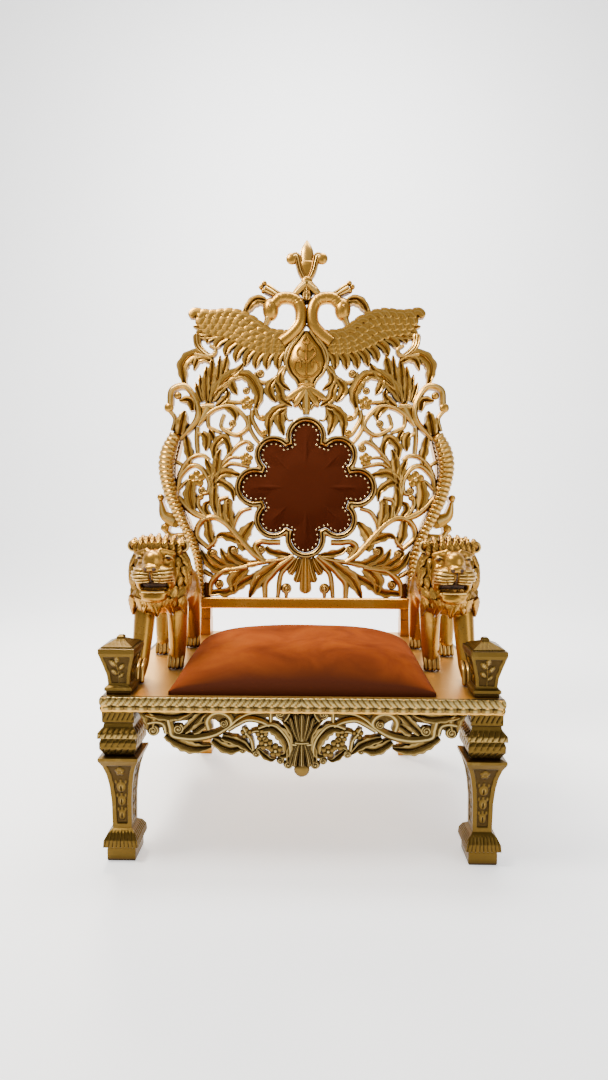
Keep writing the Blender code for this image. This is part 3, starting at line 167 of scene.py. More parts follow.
FRET_STROKES = [
    # Between the drop and the medallion
    ("leaf", 8, [(22, 121), (26, 112), (25, 104), (16, 97)]),
    ("stem", 4.5, [(20, 122), (29, 111), (37, 105.5), (45, 105), (50.5, 110), (50.5, 115)]),
    ("leaf", 9, [(32, 108), (37, 100), (35, 92), (30, 85)]),
    ("leaf", 9, [(29, 103), (26, 96), (24, 88), (14, 81)]),
    ("leaf", 9, [(20, 81), (29, 78), (37, 68), (37, 50)]),
    ("leaf", 10, [(21, 81), (26, 73), (26, 64), (22, 52)]),
    ("tail", 5, [(21, 80), (20.5, 72), (17.5, 67), (13, 68)]),
    # Upper inner arch and its curls
    ("leaf", 11, [(74, 110), (65, 112.5), (56, 109), (48, 95), (49, 83), (53, 74)]),
    ("stem", 4, [(62, 110.5), (56.5, 104), (56, 98)]),
    ("leaf", 8, [(76, 107), (73, 99), (69, 92.5)]),
    ("stem", 5, [(54, 77), (54, 68), (46, 54), (38, 49)]),
    ("stem", 5, [(51, 79), (49, 72), (45, 68)]),
    ("stem", 4.5, [(57.5, 72), (56.5, 60), (52, 51), (45, 42)]),
    ("stem", 4, [(82, 86), (72, 85), (60, 84.5)]),
    # Upper side loop
    ("stem", 5, [(107, 65), (98, 73), (90, 78.5), (80, 81), (71, 79.5), (60, 68), (59, 59), (70, 52),
                 (84, 59), (84.5, 66), (82, 73)]),
    ("stem", 4, [(80, 57.5), (76, 58), (73.5, 61)]),
    ("leaf", 8, [(82, 81), (75, 78), (71, 72), (71, 66)]),
    ("leaf", 7, [(90, 80), (83, 86), (78.5, 92), (80, 99)]),
    # Fan of leaves at the shoulder
    ("stem", 7, [(92, 80.5), (98, 80.5), (105, 80.5)]),
    ("tail", 12, [(98, 79), (103, 70), (108.5, 61)]),
    ("leaf", 10, [(98, 84), (97, 98), (95, 112), (94, 130)]),
    ("leaf", 8, [(95, 85), (91, 100), (88, 113), (86.5, 132)]),
    ("leaf", 12, [(94, 87), (87, 99), (79, 108), (67, 118), (63, 124)]),
    ("leaf", 5, [(93, 88), (88, 95), (76, 105), (70, 111)]),
    ("leaf", 8, [(100, 86), (100.5, 97), (100, 121)]),
    ("leaf", 6, [(102, 86), (104, 96), (107, 113)]),
    ("leaf", 6, [(104, 85), (107.5, 94), (111, 105)]),
    ("leaf", 8, [(84, 112), (82, 119), (79, 132)]),
    # Shoulder scroll up to the wing tip
    ("lobe", 9, [(97, 131), (104, 136), (109, 143), (110, 154)]),
    ("stem", 4.5, [(112, 133), (103, 131.5), (94, 132), (91, 138), (97, 142)]),
    ("leaf", 11, [(97, 130.5), (107, 132.5), (116, 131.5), (124, 122), (123, 109), (121, 99)]),
    ("leaf", 7, [(94, 125), (102, 129), (109, 127), (113, 117)]),
    # Outer side, above the middle
    ("stem", 4.5, [(98, 74), (98.5, 66), (97, 60), (91, 57), (84, 54)]),
    ("leaf", 8, [(90, 26), (92, 39), (83, 49.5), (77, 40), (79, 27)]),
    ("leaf", 9, [(104, 54), (100, 50), (99.5, 44), (100.5, 36)]),
    ("leaf", 5, [(97, 57), (93, 51), (92, 44)]),
    ("stem", 5, [(109, 60), (109.5, 48), (108, 30)]),
    ("stem", 4, [(110, 55), (104, 52)]),
    ("leaf", 8, [(120, 50), (118, 38), (116.5, 31), (117, 20)]),
    ("stem", 5, [(127, 10), (122, 21), (113, 30), (103, 31.5), (96, 27)]),
    ("stem", 4, [(133, 26), (127, 24), (122, 20)]),
    ("stem", 5.5, [(130, -10), (128, 2), (125.5, 11), (115, 21), (105, 19), (97, 6), (98, -5), (103, -7)]),
    ("stem", 3.5, [(127, -2), (119, 6), (110, 8)]),
    # Outer side, below the middle
    ("leaf", 12, [(114, 5), (116, -6), (115, -14), (112, -26)]),
    ("stem", 7, [(130, -9), (124, -15), (117, -22), (108, -28), (96, -32)]),
    ("stem", 5, [(107, -9), (108, -17), (104, -24), (97, -32)]),
    ("leaf", 6, [(95, -15), (100, -18), (99.5, -24), (93, -32)]),
    ("stem", 4.5, [(95.5, 0), (95, -10), (93.5, -19), (87, -32)]),
    # Plume of leaves at the middle of the side
    ("leaf", 8, [(92, 4), (93, 13), (96.5, 20), (101, 29)]),
    ("leaf", 9, [(92, 4), (89, 22), (88, 31), (85, 38)]),
    ("stem", 4.5, [(89, 12), (81, 27), (72, 38), (65, 46), (66, 53)]),
    ("stem", 4.5, [(80, 29), (73, 37), (66, 43), (59, 45.5), (52, 41)]),
    ("stem", 4.5, [(91, 10), (81, 20.5), (73, 23.5), (56, 20)]),
    ("stem", 3.5, [(84, 22), (75, 29.5), (62, 29)]),
    ("leaf", 9, [(92, 6), (86, 12), (79, 14.5), (63, 11)]),
    ("leaf", 8, [(96, -4), (92, 2), (85, 5), (74, -3), (72, -14)]),
    ("stem", 5, [(88, -32), (87.5, -20), (86.5, -13), (77, -10)]),
    ("leaf", 8, [(91, 4), (91.5, -7), (91.5, -16), (88, -30)]),
    ("leaf", 7, [(84, -17), (83, -27), (79, -34), (71, -46)]),
    # Lower main scroll
    ("stem", 6.5, [(40, -75), (50, -68), (58, -60), (72, -44), (80, -36), (89, -31), (97, -31), (104, -34.5),
                   (108.5, -42), (108, -51), (97, -61)]),
    ("leaf", 9, [(98, -33), (97, -43), (95.5, -51), (91, -60)]),
    ("stem", 5, [(99, -62), (92, -56), (89, -49)]),
    ("leaf", 8, [(64, -55), (76, -50), (84, -48), (91, -52)]),
    ("stem", 5, [(71, -48), (72, -38), (65, -25), (54, -21)]),
    ("leaf", 10, [(78, -13), (77, -29), (75, -38), (71, -48)]),
    ("leaf", 12, [(60, -63), (64, -54), (61, -46), (52, -34)]),
    ("stem", 5, [(44, -74), (52, -65), (60, -58), (66, -50)]),
    ("stem", 6, [(25, -55), (36, -55), (45, -54.5), (50.5, -60), (42, -73)]),
    ("leaf", 7, [(40, -60), (33, -65), (12, -68)]),
    ("stem", 5, [(12, -69), (28, -73), (40, -74.5), (64, -79.5), (78, -81)]),
    ("leaf", 9, [(48, -76), (60, -76), (74, -67), (75, -61), (70, -59.5)]),
    ("leaf", 9, [(62, -79), (74, -76), (80, -71), (85, -61)]),
    ("leaf", 8, [(70, -80), (81, -78.5), (96, -67), (92, -62)]),
    ("leaf", 9, [(66, -81), (79, -83), (90, -81), (98, -74), (104, -63)]),
    # Lower corner scroll
    ("stem", 6.5, [(58, -80), (71, -82), (82, -84), (93.5, -95), (95, -108)]),
    ("leaf", 9, [(94, -106), (86, -105), (77, -104.5), (60, -94), (38, -82)]),
    ("stem", 5, [(103, -83), (93, -89)]),
    ("leaf", 13, [(58, -80), (66, -86), (72, -94), (71, -106)]),
    # Palmette under the medallion
    ("leaf", 12, [(27, -76), (38, -84), (47, -92), (56, -110)]),
    ("stem", 7, [(14, -70), (27, -80), (34, -88), (40, -96), (40, -110)]),
    ("stem", 5.5, [(10, -70), (20, -81), (25, -89), (27.5, -110)]),
    ("lobe", 8, [(7, -70), (12, -81), (16.5, -87)]),
    ("lobe", 8, [(3, -70), (6, -84), (9.5, -95)]),
    ("lobe", 13, [(0, -70), (0, -88), (0, -106)]),
    ("stem", 4, [(19, -102), (19, -110)]),
]
FRET_BALLS = [
    (46, 113.5, 4.5), (60, 96.5, 4.0), (42, 54, 3.8), (43.5, 69, 3.6), (73.5, 63.5, 4.2), (104, -3.5, 4.2),
    (105, -10, 3.4), (56, 39, 4.4), (77.5, -16, 5.0), (44.5, -62.5, 4.8), (71, -64, 4.6), (92, -66.5, 4.6),
    (86, -97, 4.8), (19, -101, 5.5), (59, 84, 6.0), (109, 8, 7.0), (59.5, 28, 5.5), (93, 8, 4.5),
]

# Swan crest: rows of feathers laid along curves, from the leading edge down
WING_EDGE = ("tail", 7, [(18, 151), (38, 153.5), (58, 167.5), (76, 173), (95, 171.5), (111, 173.5)])
SCALE_ROWS = [
    (10, 6.4, [(22, 146), (42, 148), (57, 159), (70, 166), (105, 167)]),
    (9, 6.0, [(24, 138), (44, 138.5), (61, 144.5), (78, 153), (98, 157)]),
]
FEATHER_ROOTS = [(24, 136), (44, 135), (62, 142), (80, 150), (101, 155)]
FEATHER_TIPS = [(28, 121), (50, 121), (70, 128), (90, 140), (106, 152)]
FEATHERS = 9
FEATHER_WIDTH = 9.5
SWAN_NECK = ("stem", 11, [(25, 145), (16, 152), (8, 161), (5.6, 169), (6, 178), (10, 186), (18, 189.5),
                          (27, 188.5), (33, 183)])
CREST_STROKES = [
    ("tail", 8, [(35, 176), (40, 166), (44, 157)]),
    ("lobe", 9, [(20, 190), (31, 194), (41, 199.5)]),
    ("leaf", 8, [(36, 182), (49, 187), (60, 178), (64, 167)]),
    ("stem", 5, [(2, 164), (11, 150), (19, 138), (21.5, 128), (19, 118)]),
    ("stem", 9, [(0, 106), (0, 92), (0, 72.4)]),
    ("lobe", 6, [(4, 78), (8, 84), (14, 88)]),
    ("lobe", 10, [(0, 203), (0, 186)]),
    ("tail", 8, [(0, 206), (9, 199), (15, 192)]),
    ("lobe", 8, [(0, 205), (6, 216), (10, 231), (15, 229)]),
]
SWAN_HEAD = (36, 178, 7.0)
NECK_RISE = 0.004
CREST_BALLS = [(36, 178, 8.0), (15, 229, 6.0), (14, 90, 4.4), (0, 206, 6.0)]
DROP_OUTLINE = [(2.2, 157), (9, 147), (14, 140), (17.5, 131), (18.5, 123), (15, 114), (9, 107), (6.5, 100)]
DROP_DEPTH = 0.030
SPEAR = [(0.8, 248), (6.4, 237), (6.4, 218), (2.5, 210)]

# Front apron strokes on the right half, y down from the rim, drawn APRON_HALF units wide
APRON_HALF = 165.3
APRON_STROKES = [
    ("stem", 7, [(0, -3), (60, -3), (120, -3), (166, -3)]),
    ("leaf", 12, [(165, -2), (158, -9), (156, -17), (158, -26)]),
    ("stem", 7, [(158, -16), (150, -14.5), (142, -17), (139.5, -27)]),
    ("leaf", 11, [(160, -5), (146, -7), (130, -8), (112, -4)]),
    ("stem", 6, [(137, -12), (135, -20), (133, -28), (122, -31), (108, -31.5), (90, -27.5), (76, -20),
                 (66, -11), (54, -5), (36, -3.5)]),
    ("leaf", 13, [(140, -28), (130, -35), (112, -42), (93, -41)]),
    ("leaf", 10, [(121, -25), (112, -16), (104, -8), (96, -3)]),
    ("leaf", 10, [(112, -25), (104, -19), (97, -15)]),
    ("stem", 8, [(95, -22), (97, -13), (92, -6), (84, -4), (76, -7), (72, -14), (75, -21)]),
    ("stem", 7, [(76, -22), (66, -16), (55, -11), (42, -13), (33, -18)]),
    ("stem", 5, [(32, -2), (32, -18)]),
    ("leaf", 13, [(42, -21), (31, -20), (20, -28), (15, -38), (16, -48), (24, -50)]),
    ("leaf", 11, [(92, -33), (82, -40), (72, -43), (58, -40)]),
    ("leaf", 9, [(82, -30), (71, -33), (60, -38), (50, -48)]),
    ("stem", 5, [(60, -20), (56, -27), (52, -33), (50, -44)]),
    ("stem", 5, [(52, -25), (44, -24), (38, -36), (46, -43)]),
    ("leaf", 6, [(46, -42), (40, -48), (32, -54), (26, -53)]),
    ("stem", 4.5, [(38, -36), (31, -42), (26, -45)]),
    ("leaf", 8, [(7, -36), (9, -24), (16, -15), (22, -11)]),
    ("stem", 4, [(18, -13), (14, -8), (12, -2)]),
    ("stem", 4, [(20, -11), (25, -9), (26, -3)]),
    ("leaf", 8, [(11, -38), (12, -48), (13, -60)]),
    ("lobe", 20, [(0, 0), (0, -8), (0, -16)]),
    ("stem", 15, [(0, -10), (0, -30), (0, -62)]),
    ("stem", 7, [(0, -37), (10, -37)]),
]
APRON_BALLS = [
    (153, -24, 7.0), (127, -22, 7.0), (80, -16, 5.5), (57, -26, 5.5), (41, -28, 6.0), (37, -37, 6.5),
    (27, -44, 6.5), (22, -55, 4.5), (14, -59, 5.5), (47, -47.5, 5.0), (61, -44, 4.5), (22, -5, 4.5),
    (0, -64, 8.6),
]

# Flowers among the balls, by their place in FRET_BALLS and APRON_BALLS
FRET_FLOWERS = (14, 15, 16, 17)
APRON_FLOWERS = (3, 4, 5, 6)

# Camera, from the photograph: metres from the middle of the seat's front edge
CAMERA_PLACE = (0.0274, -1.5387, 1.0167)
CAMERA_PITCH = math.radians(4.87)
CAMERA_YAW = math.radians(-0.85)
CAMERA_ROLL = math.radians(0.2)
CAMERA_LENS = 20.0
CAMERA_SENSOR = 36.0

# Carving
STROKE_STEP = 1.35
LIP = 0.0030
LAYER_STEP = 0.0007
LAYERS = 5
BACK_LAYERS = 7
BACK_STAGGER = 0.0002
VOLUTE_STEPS = 14
VOLUTE_TURNS = 1.45
SMALLEST_VOLUTE = 3.9
NAIL_RADIUS = 0.0043
NAIL_SPACING = 0.0188
NAIL_INSET = 8.4

# Places across a section, from its edge to its middle line
HALF_SECTION = [1.0, 0.88, 0.60, 0.34, 0.12, 0.0]
SECTION = np.array([-place for place in HALF_SECTION[:-1]] + HALF_SECTION[::-1])


def both_halves(values):
    """A symmetric row of values from its first half and its middle."""
    return np.array(values + values[-2::-1])


# Heights across a section, as shares of its rise, and how far each place is out of the recesses, which the
# gilt looks show as painted shade and painted highlight
STEM = (both_halves([0.0, 0.42, 0.60, 0.92, 1.0, 1.0]), both_halves([0.1, 0.75, 0.30, 0.80, 1.0, 1.0]))
LEAF = (both_halves([0.0, 0.80, 0.86, 0.62, 0.50, 0.90]), both_halves([0.1, 0.80, 0.90, 0.50, 0.12, 0.95]))
LOBE = (both_halves([0.0, 0.60, 0.88, 0.62, 0.92, 1.0]), both_halves([0.1, 0.70, 0.95, 0.20, 0.90, 1.0]))
SCALE = (both_halves([0.0, 0.55, 0.82, 0.92, 0.97, 1.0]), both_halves([0.0, 0.10, 0.62, 0.76, 0.84, 0.90]))
SECTIONS = {"stem": STEM, "tail": STEM, "leaf": LEAF, "feather": LEAF, "lobe": LOBE, "scale": SCALE}


def smooth_path(points, per_span=8):
    """A smooth line through the points, with any further values carried along."""
    given = [np.array(point, float) for point in points]
    padded = [2 * given[0] - given[1]] + given + [2 * given[-1] - given[-2]]
    path = []
    for span in range(len(given) - 1):
        before, start, end, after = padded[span:span + 4]
        for step in range(per_span):
            t = step / per_span
            path.append(0.5 * (
                2 * start + (end - before) * t + (2 * before - 5 * start + 4 * end - after) * t ** 2
                + (3 * start - before - 3 * end + after) * t ** 3
            ))
    path.append(given[-1])
    return np.array(path)


def even_path(points, step):
    """The smooth line again, with its points a step apart."""
    path = smooth_path(points)
    lengths = np.concatenate([[0.0], np.cumsum(np.hypot(*np.diff(path[:, :2], axis=0).T))])
    count = max(5, int(lengths[-1] / step) + 1)
    places = np.linspace(0.0, lengths[-1], count)
    columns = [np.interp(places, lengths, path[:, column]) for column in range(path.shape[1])]
    return np.stack(columns, axis=1), lengths[-1]


def line_directions(path):
    """Directions along a drawn line and across it."""
    along = np.gradient(path[:, :2], axis=0)
    along /= np.maximum(np.hypot(*along.T), 1e-9)[:, None]
    return along, np.stack([-along[:, 1], along[:, 0]], axis=1)


def width_shares(kind, t):
    """Shares of a stroke's full width along it."""
    if kind == "leaf":
        root = 0.5 + 0.5 * np.sin(np.pi / 2 * np.clip(t / 0.45, 0, 1))
        tip = 0.16 + 0.84 * np.cos(np.pi / 2 * np.clip((t - 0.45) / 0.55, 0, 1))
        return np.where(t < 0.45, root, tip)
    if kind == "tail":
        return 1.0 - 0.75 * t
    if kind == "lobe":
        end = np.sqrt(np.clip(1.0 - (np.clip(t - 0.86, 0, 1) / 0.145) ** 2, 0.02, 1))
        return (0.45 + 0.55 * np.sqrt(t)) * end
    if kind == "feather":
        return np.where(t < 0.66, 1.0, 1.0 - 0.92 * np.clip((t - 0.66) / 0.34, 0, 1) ** 1.7)
    if kind == "scale":
        return np.where(t < 0.62, 1.0, np.sqrt(np.clip(1.0 - ((t - 0.62) / 0.385) ** 2, 0.02, 1)))
    return 1.0 - 0.25 * np.clip((t - 0.7) / 0.3, 0, 1)


class Carving:
    """A carved piece: closed bodies of points, with how far each point is out of the recesses."""

    def __init__(self):
        self.points = []
        self.marks = []
        self.faces = []
        self.count = 0

    def add(self, points, marks, faces):
        """Add points with their marks and the faces between them."""
        points = np.asarray(points, float).reshape(-1, 3)
        self.points.append(points)
        self.marks.append(np.broadcast_to(np.asarray(marks, float).ravel(), (len(points),)))
        self.faces += [tuple(index + self.count for index in face) for face in faces]
        self.count += len(points)

    def loft(self, rings, marks, closed_ends=True, round_trip=False):
        """A skin over rings of points, each ring closed on itself."""
        rows, columns = rings.shape[:2]
        faces = []
        spans = rows if round_trip else rows - 1
        for row in range(spans):
            after = (row + 1) % rows
            for column in range(columns):
                beside = (column + 1) % columns
                faces.append((row * columns + column, row * columns + beside,
                              after * columns + beside, after * columns + column))
        if closed_ends and not round_trip:
            faces.append(tuple(range(columns)))
            faces.append(tuple((rows - 1) * columns + column for column in range(columns)))
        self.add(rings, np.broadcast_to(marks, (rows, columns)), faces)

    def ball(self, centre, radii, columns=14, rows=8, mark=0.8):
        """An ellipsoid lying on the carving."""
        rings = []
        for row in range(1, rows):
            tilt = math.pi * row / rows
            turns = 2 * np.pi * np.arange(columns) / columns
            rings.append(np.stack([
                centre[0] + radii[0] * math.sin(tilt) * np.cos(turns),
                centre[1] + radii[1] * math.sin(tilt) * np.sin(turns),
                np.full(columns, centre[2] + radii[2] * math.cos(tilt)),
            ], axis=1))
        self.loft(np.array(rings), mark)

    def piece(self, name, place, look, flat_angle=38.0):
        """The finished piece in the scene, replacing nothing yet."""
        mesh = bpy.data.meshes.new(name)
        mesh.from_pydata(np.concatenate(self.points).tolist(), [], self.faces)
        # The carve marks become painted shade in the recesses and painted highlights on the ridges in the
        # gilt looks.
        marks = mesh.attributes.new("carve", "FLOAT", "POINT")
        marks.data.foreach_set("value", np.concatenate(self.marks).astype(np.float32))
        bm = bmesh.new()
        bm.from_mesh(mesh)
        bmesh.ops.recalc_face_normals(bm, faces=bm.faces)
        bm.to_mesh(mesh)
        bm.free()
        mesh.transform(place)
        mesh.shade_smooth()
        mesh.set_sharp_from_angle(angle=math.radians(flat_angle))
        thing = bpy.data.objects.new(name, mesh)
        bpy.context.scene.collection.objects.link(thing)
        mesh.materials.append(look)
        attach(thing, "root")
        return thing


def carve_stroke(carving, stroke, unit, back, base, deepest, layer, sides=(-1, 1), step=STROKE_STEP):
    """One stroke as a lofted body with a carved section, on one or both sides."""
    kind, width, points = stroke
    path, length = even_path(points, step)
    t = np.linspace(0.0, 1.0, len(path))
    _, across = line_directions(path)
    half = width / 2 * width_shares(kind, t)
    if kind == "leaf":
        notches = max(2, round(length / 9.0))
        half = half * (1.32 - 0.24 * np.cos(np.pi * notches * t) ** 2 * (t > 0.10) * (t < 0.95))
    rises, marks = SECTIONS[kind]
    rise = np.minimum(half * unit * 0.95, deepest)
    lift = base + (layer % LAYERS) * LAYER_STEP
    low = back + (layer % BACK_LAYERS) * BACK_STAGGER
    for side in sides:
        flat = path[:, None, :] + across[:, None, :] * (half[:, None] * SECTION[None, :])[:, :, None]
        front = lift + rise[:, None] * rises[None, :]
        rings = np.empty((len(path), len(SECTION) + 2, 3))
        rings[:, 1:-1, 0] = flat[:, :, 0] * unit * side
        rings[:, 1:-1, 1] = flat[:, :, 1] * unit
        rings[:, 1:-1, 2] = front
        rings[:, 0] = rings[:, 1]
        rings[:, -1] = rings[:, -2]
        rings[:, 0, 2] = low
        rings[:, -1, 2] = low
        shown = np.concatenate([[0.0], marks, [0.0]])
        carving.loft(rings, shown[None, :])


def carve_flower(carving, x, y, size, unit, base, side):
    """A five-petal flower with a domed middle."""
    for petal in range(5):
        turn = 2 * math.pi * petal / 5 + 0.3
        place = (side * (x + math.cos(turn) * size * 0.58) * unit, (y + math.sin(turn) * size * 0.58) * unit)
        carving.ball((*place, base), (size * 0.46 * unit, size * 0.46 * unit, 0.0065), 10, 6, 0.75)
    carving.ball((side * x * unit, y * unit, base + 0.003), (size * 0.30 * unit,) * 2 + (0.0065,), 10, 6, 1.0)


def carve_volute(carving, x, y, size, unit, base, side):
    """A rolled scroll end: a disc with a raised spiral that runs into its eye."""
    place = (side * x * unit, y * unit)
    # The disc is marked low, painted shade under the spiral; the eye is marked full, a painted highlight.
    carving.ball((*place, base - 0.003), (size * unit, size * unit, 0.0075), 16, 8, 0.10)
    spiral = []
    for step in range(VOLUTE_STEPS + 1):
        turn = 2.0 + 2 * math.pi * VOLUTE_TURNS * step / VOLUTE_STEPS
        reach = size * (0.80 - 0.52 * step / VOLUTE_STEPS)
        spiral.append((x + reach * math.cos(turn), y + reach * math.sin(turn)))
    stroke = ("stem", size * 0.46, spiral)
    carve_stroke(carving, stroke, unit, base - 0.006, base + 0.0016, 0.0050, 0, (side,), 1.7)
    carving.ball((*place, base + 0.004), (size * 0.26 * unit, size * 0.26 * unit, 0.0050), 10, 6, 1.0)


def carve_balls(carving, balls, flowers, unit, base):
    """Volutes, buds and flowers on both sides."""
    for index, (x, y, size) in enumerate(balls):
        for side in ((-1, 1) if x else (1,)):
            if index in flowers:
                carve_flower(carving, x, y, size * 1.25, unit, base, side)
            elif x and size > SMALLEST_VOLUTE:
                carve_volute(carving, x, y, size, unit, base, side)
            else:
                radius = size * unit
                carving.ball((side * x * unit, y * unit, base), (radius, radius, min(radius, 0.011)))


def back_frame(front_y):
    """The leaning plane of the back: x across, y up the plane, z out to the front."""
    foot = Matrix.Translation((0.0, front_y + BACK_FOOT + PLATE_BACK, SEAT_HEIGHT))
    lean = Matrix.Rotation(math.pi / 2 - BACK_LEAN, 4, "X")
    return foot @ lean @ Matrix.Translation((0.0, MEDALLION_RISE, 0.0))


def medallion_lobes():
    """Middles and radii of the medallion's lobes."""
    lobes = [(0.0, 0.0, AXIS_LOBE[0])]
    for eighth in range(8):
        reach, radius = AXIS_LOBE if eighth % 2 == 0 else DIAGONAL_LOBE
        turn = eighth * math.pi / 4
        lobes.append((reach * math.cos(turn), reach * math.sin(turn), radius))
    return lobes


def medallion_line(inset, steps=256):
    """Points of the medallion's edge moved in by an inset, in drawing units."""
    turns = 2 * np.pi * np.arange(steps) / steps
    reach = np.zeros(steps)
    for x, y, radius in medallion_lobes():
        radius = radius - inset
        along = x * np.cos(turns) + y * np.sin(turns)
        across = np.abs(-x * np.sin(turns) + y * np.cos(turns))
        inside = np.clip(radius ** 2 - across ** 2, 0, None)
        reach = np.where(across < radius, np.maximum(reach, along + np.sqrt(inside)), reach)
    return np.stack([reach * np.cos(turns), reach * np.sin(turns)], axis=1)


def medallion_rings(levels, steps=256):
    """Rings round the medallion at (inset, height) levels."""
    rings = []
    for inset, height in levels:
        line = medallion_line(inset, steps) * CARVING_UNIT
        rings.append(np.column_stack([line, np.full(steps, height)]))
    return np.array(rings)


def make_fret(frame, look):
    """The openwork back panel, with the beaded frame of the medallion."""
    carving = Carving()
    for layer, stroke in enumerate(FRET_STROKES):
        carve_stroke(carving, stroke, CARVING_UNIT, PLATE_BACK, LIP, 0.0105, layer)
    carve_balls(carving, FRET_BALLS, FRET_FLOWERS, CARVING_UNIT, 0.006)
    levels = [
        (0.0, PLATE_BACK), (0.0, 0.006), (0.5, 0.011), (1.4, 0.0155), (2.3, 0.0155), (3.0, 0.011),
        (3.3, 0.0085), (3.7, 0.011), (4.4, 0.0135), (5.2, 0.0115), (5.7, 0.007), (MEDALLION_RIM, 0.003),
        (MEDALLION_RIM, PLATE_BACK),
    ]
    # Marks for painted shade in the groove between the beads and painted highlights on their tops.
    marks = np.array([0, 0.3, 0.8, 1, 1, 0.5, 0.1, 0.5, 1, 0.7, 0.3, 0.1, 0])
    carving.loft(medallion_rings(levels).transpose(1, 0, 2), marks[None, :], round_trip=True)
    panel = carving.piece("fret_carving", frame, look)
    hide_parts("fret_panel")


def make_posts_ears(frame, look):
    """The ears outside the horns, carved over the posts' own solids."""
    carving = Carving()
    for layer, stroke in enumerate(POST_EARS):
        carve_stroke(carving, stroke, CARVING_UNIT, PLATE_BACK - 0.006, PLATE_BACK - 0.003, 0.006, layer)
    for x, y, size in EAR_BALLS:
        for side in (-1, 1):
            radius = size * CARVING_UNIT * 0.9
            place = (side * x * CARVING_UNIT, y * CARVING_UNIT, PLATE_BACK - 0.002)
            carving.ball(place, (radius, radius, 0.009))
    ears = carving.piece("post_ears", frame, look)


def make_horns(frame, look):
    """The ribbed side horns: slanting ribs outside, a row of beads inside, a crooked head."""
    path, length = even_path(HORN_LINE, 0.55)
    _, across = line_directions(path)
    places = np.linspace(0.0, length, len(path))
    pitch = 4.9 - 0.6 * places / length
    phase = np.concatenate([[0.0], np.cumsum(np.diff(places) / pitch[1:])])
    turns = 2 * np.pi * np.arange(18) / 18
    middle = (HORN_FRONT + PLATE_BACK) / 2
    depth = (HORN_FRONT - PLATE_BACK) / 2 - 0.001
    for side, name in ((-1, "horn_left"), (1, "horn_right")):
        carving = Carving()
        slant = phase[:, None] + 0.22 * np.cos(turns)[None, :]
        rib = np.abs(np.sin(np.pi * slant)) ** 0.7
        reach = 0.83 + 0.17 * rib
        half = path[:, 2] / 2
        flat = path[:, None, :2] + across[:, None, :] * (half[:, None] * np.cos(turns) * reach)[:, :, None]
        rings = np.empty((len(path), len(turns), 3))
        rings[:, :, 0] = flat[:, :, 0] * CARVING_UNIT * side
        rings[:, :, 1] = flat[:, :, 1] * CARVING_UNIT
        rings[:, :, 2] = middle + depth * np.sin(turns)[None, :] * reach
        # The slanting grooves are marked low and the ribs high: painted shade and highlight.
        carving.loft(rings, 0.05 + 0.95 * rib)
        for bead in range(1, int(phase[-1])):
            at = int(np.searchsorted(phase, bead))
            x, y = path[at, :2] - across[at] * half[at] * 0.62
            size = half[at] * 0.30 * CARVING_UNIT
            place = (side * x * CARVING_UNIT, y * CARVING_UNIT, HORN_FRONT - 0.009)
            carving.ball(place, (size, size, 0.008), 8, 6)
        for layer, stroke in enumerate(HORN_CROOK):
            carve_stroke(carving, stroke, CARVING_UNIT, PLATE_BACK, 0.010, 0.015, layer, (side,), 1.0)
        for x, y, size in HORN_BALLS:
            radius = size * CARVING_UNIT
            carving.ball((side * x * CARVING_UNIT, y * CARVING_UNIT, 0.012), (radius, radius, 0.012))
        horn = carving.piece(name + "_carving", frame, look)
        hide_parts(name)


# The wing tips' points, and strokes that fill out the plumes, bills, chevron and the fleur
WING_TIPS = [
    [(86, 152), (99, 151), (111, 151)],
    [(87, 157), (101, 159), (114, 161)],
    [(88, 163), (102, 167), (116, 173)],
]
CREST_FINISH = [
    ("lobe", 10.5, [(28, 191), (35, 196), (42, 200)]),
    ("tail", 9.5, [(36.5, 175), (40, 165), (44, 156)]),
    ("leaf", 7.5, [(41, 187), (50, 188), (57, 182), (61, 172)]),
    ("stem", 6.6, [(1, 203), (6, 199), (12, 193)]),
    ("scale", 7.6, [(3, 98), (10, 94), (17, 89), (21, 87)]),
    ("scale", 7.4, [(1.5, 98), (5, 92), (9, 86), (12, 80)]),
    ("scale", 6.0, [(0, 98), (0, 90), (0, 79)]),
]
DROP_SPRIG = [
    [(1, 110), (7, 111), (12, 117), (11, 124), (6, 124), (6, 119)],
    [(1, 123), (5, 127), (9, 132), (7, 138), (3, 135)], [(0, 141), (3, 145), (1, 149)],
]
# Half widths and heights of the turned parts on the middle line
DROP_COLLAR = [(8.5, 103.5), (9.8, 102.2), (8.6, 100.8), (9.8, 99.4), (8.5, 98.0)]
FINIAL_CUP = [(3.4, 203), (5.4, 209), (8.2, 216), (10.0, 222), (8.6, 226), (4.0, 226.5)]
CHEVRON_BUD = [(0.8, 204), (6.6, 194), (0.8, 183)]
PLUME_BALLS = [(42.5, 204.0, 2.8), (45.5, 200.5, 2.8), (43.0, 196.5, 2.8), (0.0, 76.5, 4.2)]


def carve_feather_row(carving, points, count, size, turn, lift):
    """A row of short overlapping feathers along a line, pointing out and down on both wings."""
    length, width = size
    path, _ = even_path(points, 0.5)
    for step in range(count):
        at = int((count - 1 - step) / (count - 1) * (len(path) - 4))
        along = path[at + 3] - path[at]
        heading = math.atan2(along[1], along[0]) + turn
        ahead = np.array((math.cos(heading), math.sin(heading)))
        beside = np.array((math.cos(heading + 0.5), math.sin(heading + 0.5)))
        root = path[at] - ahead * length * 0.30
        line = [root, root + beside * length * 0.5, root + ahead * length]
        rise = lift + 0.0022 * step / count
        carve_stroke(carving, ("scale", width, line), CARVING_UNIT, PLATE_BACK, rise, 0.0062, 0, (-1, 1), 1.2)


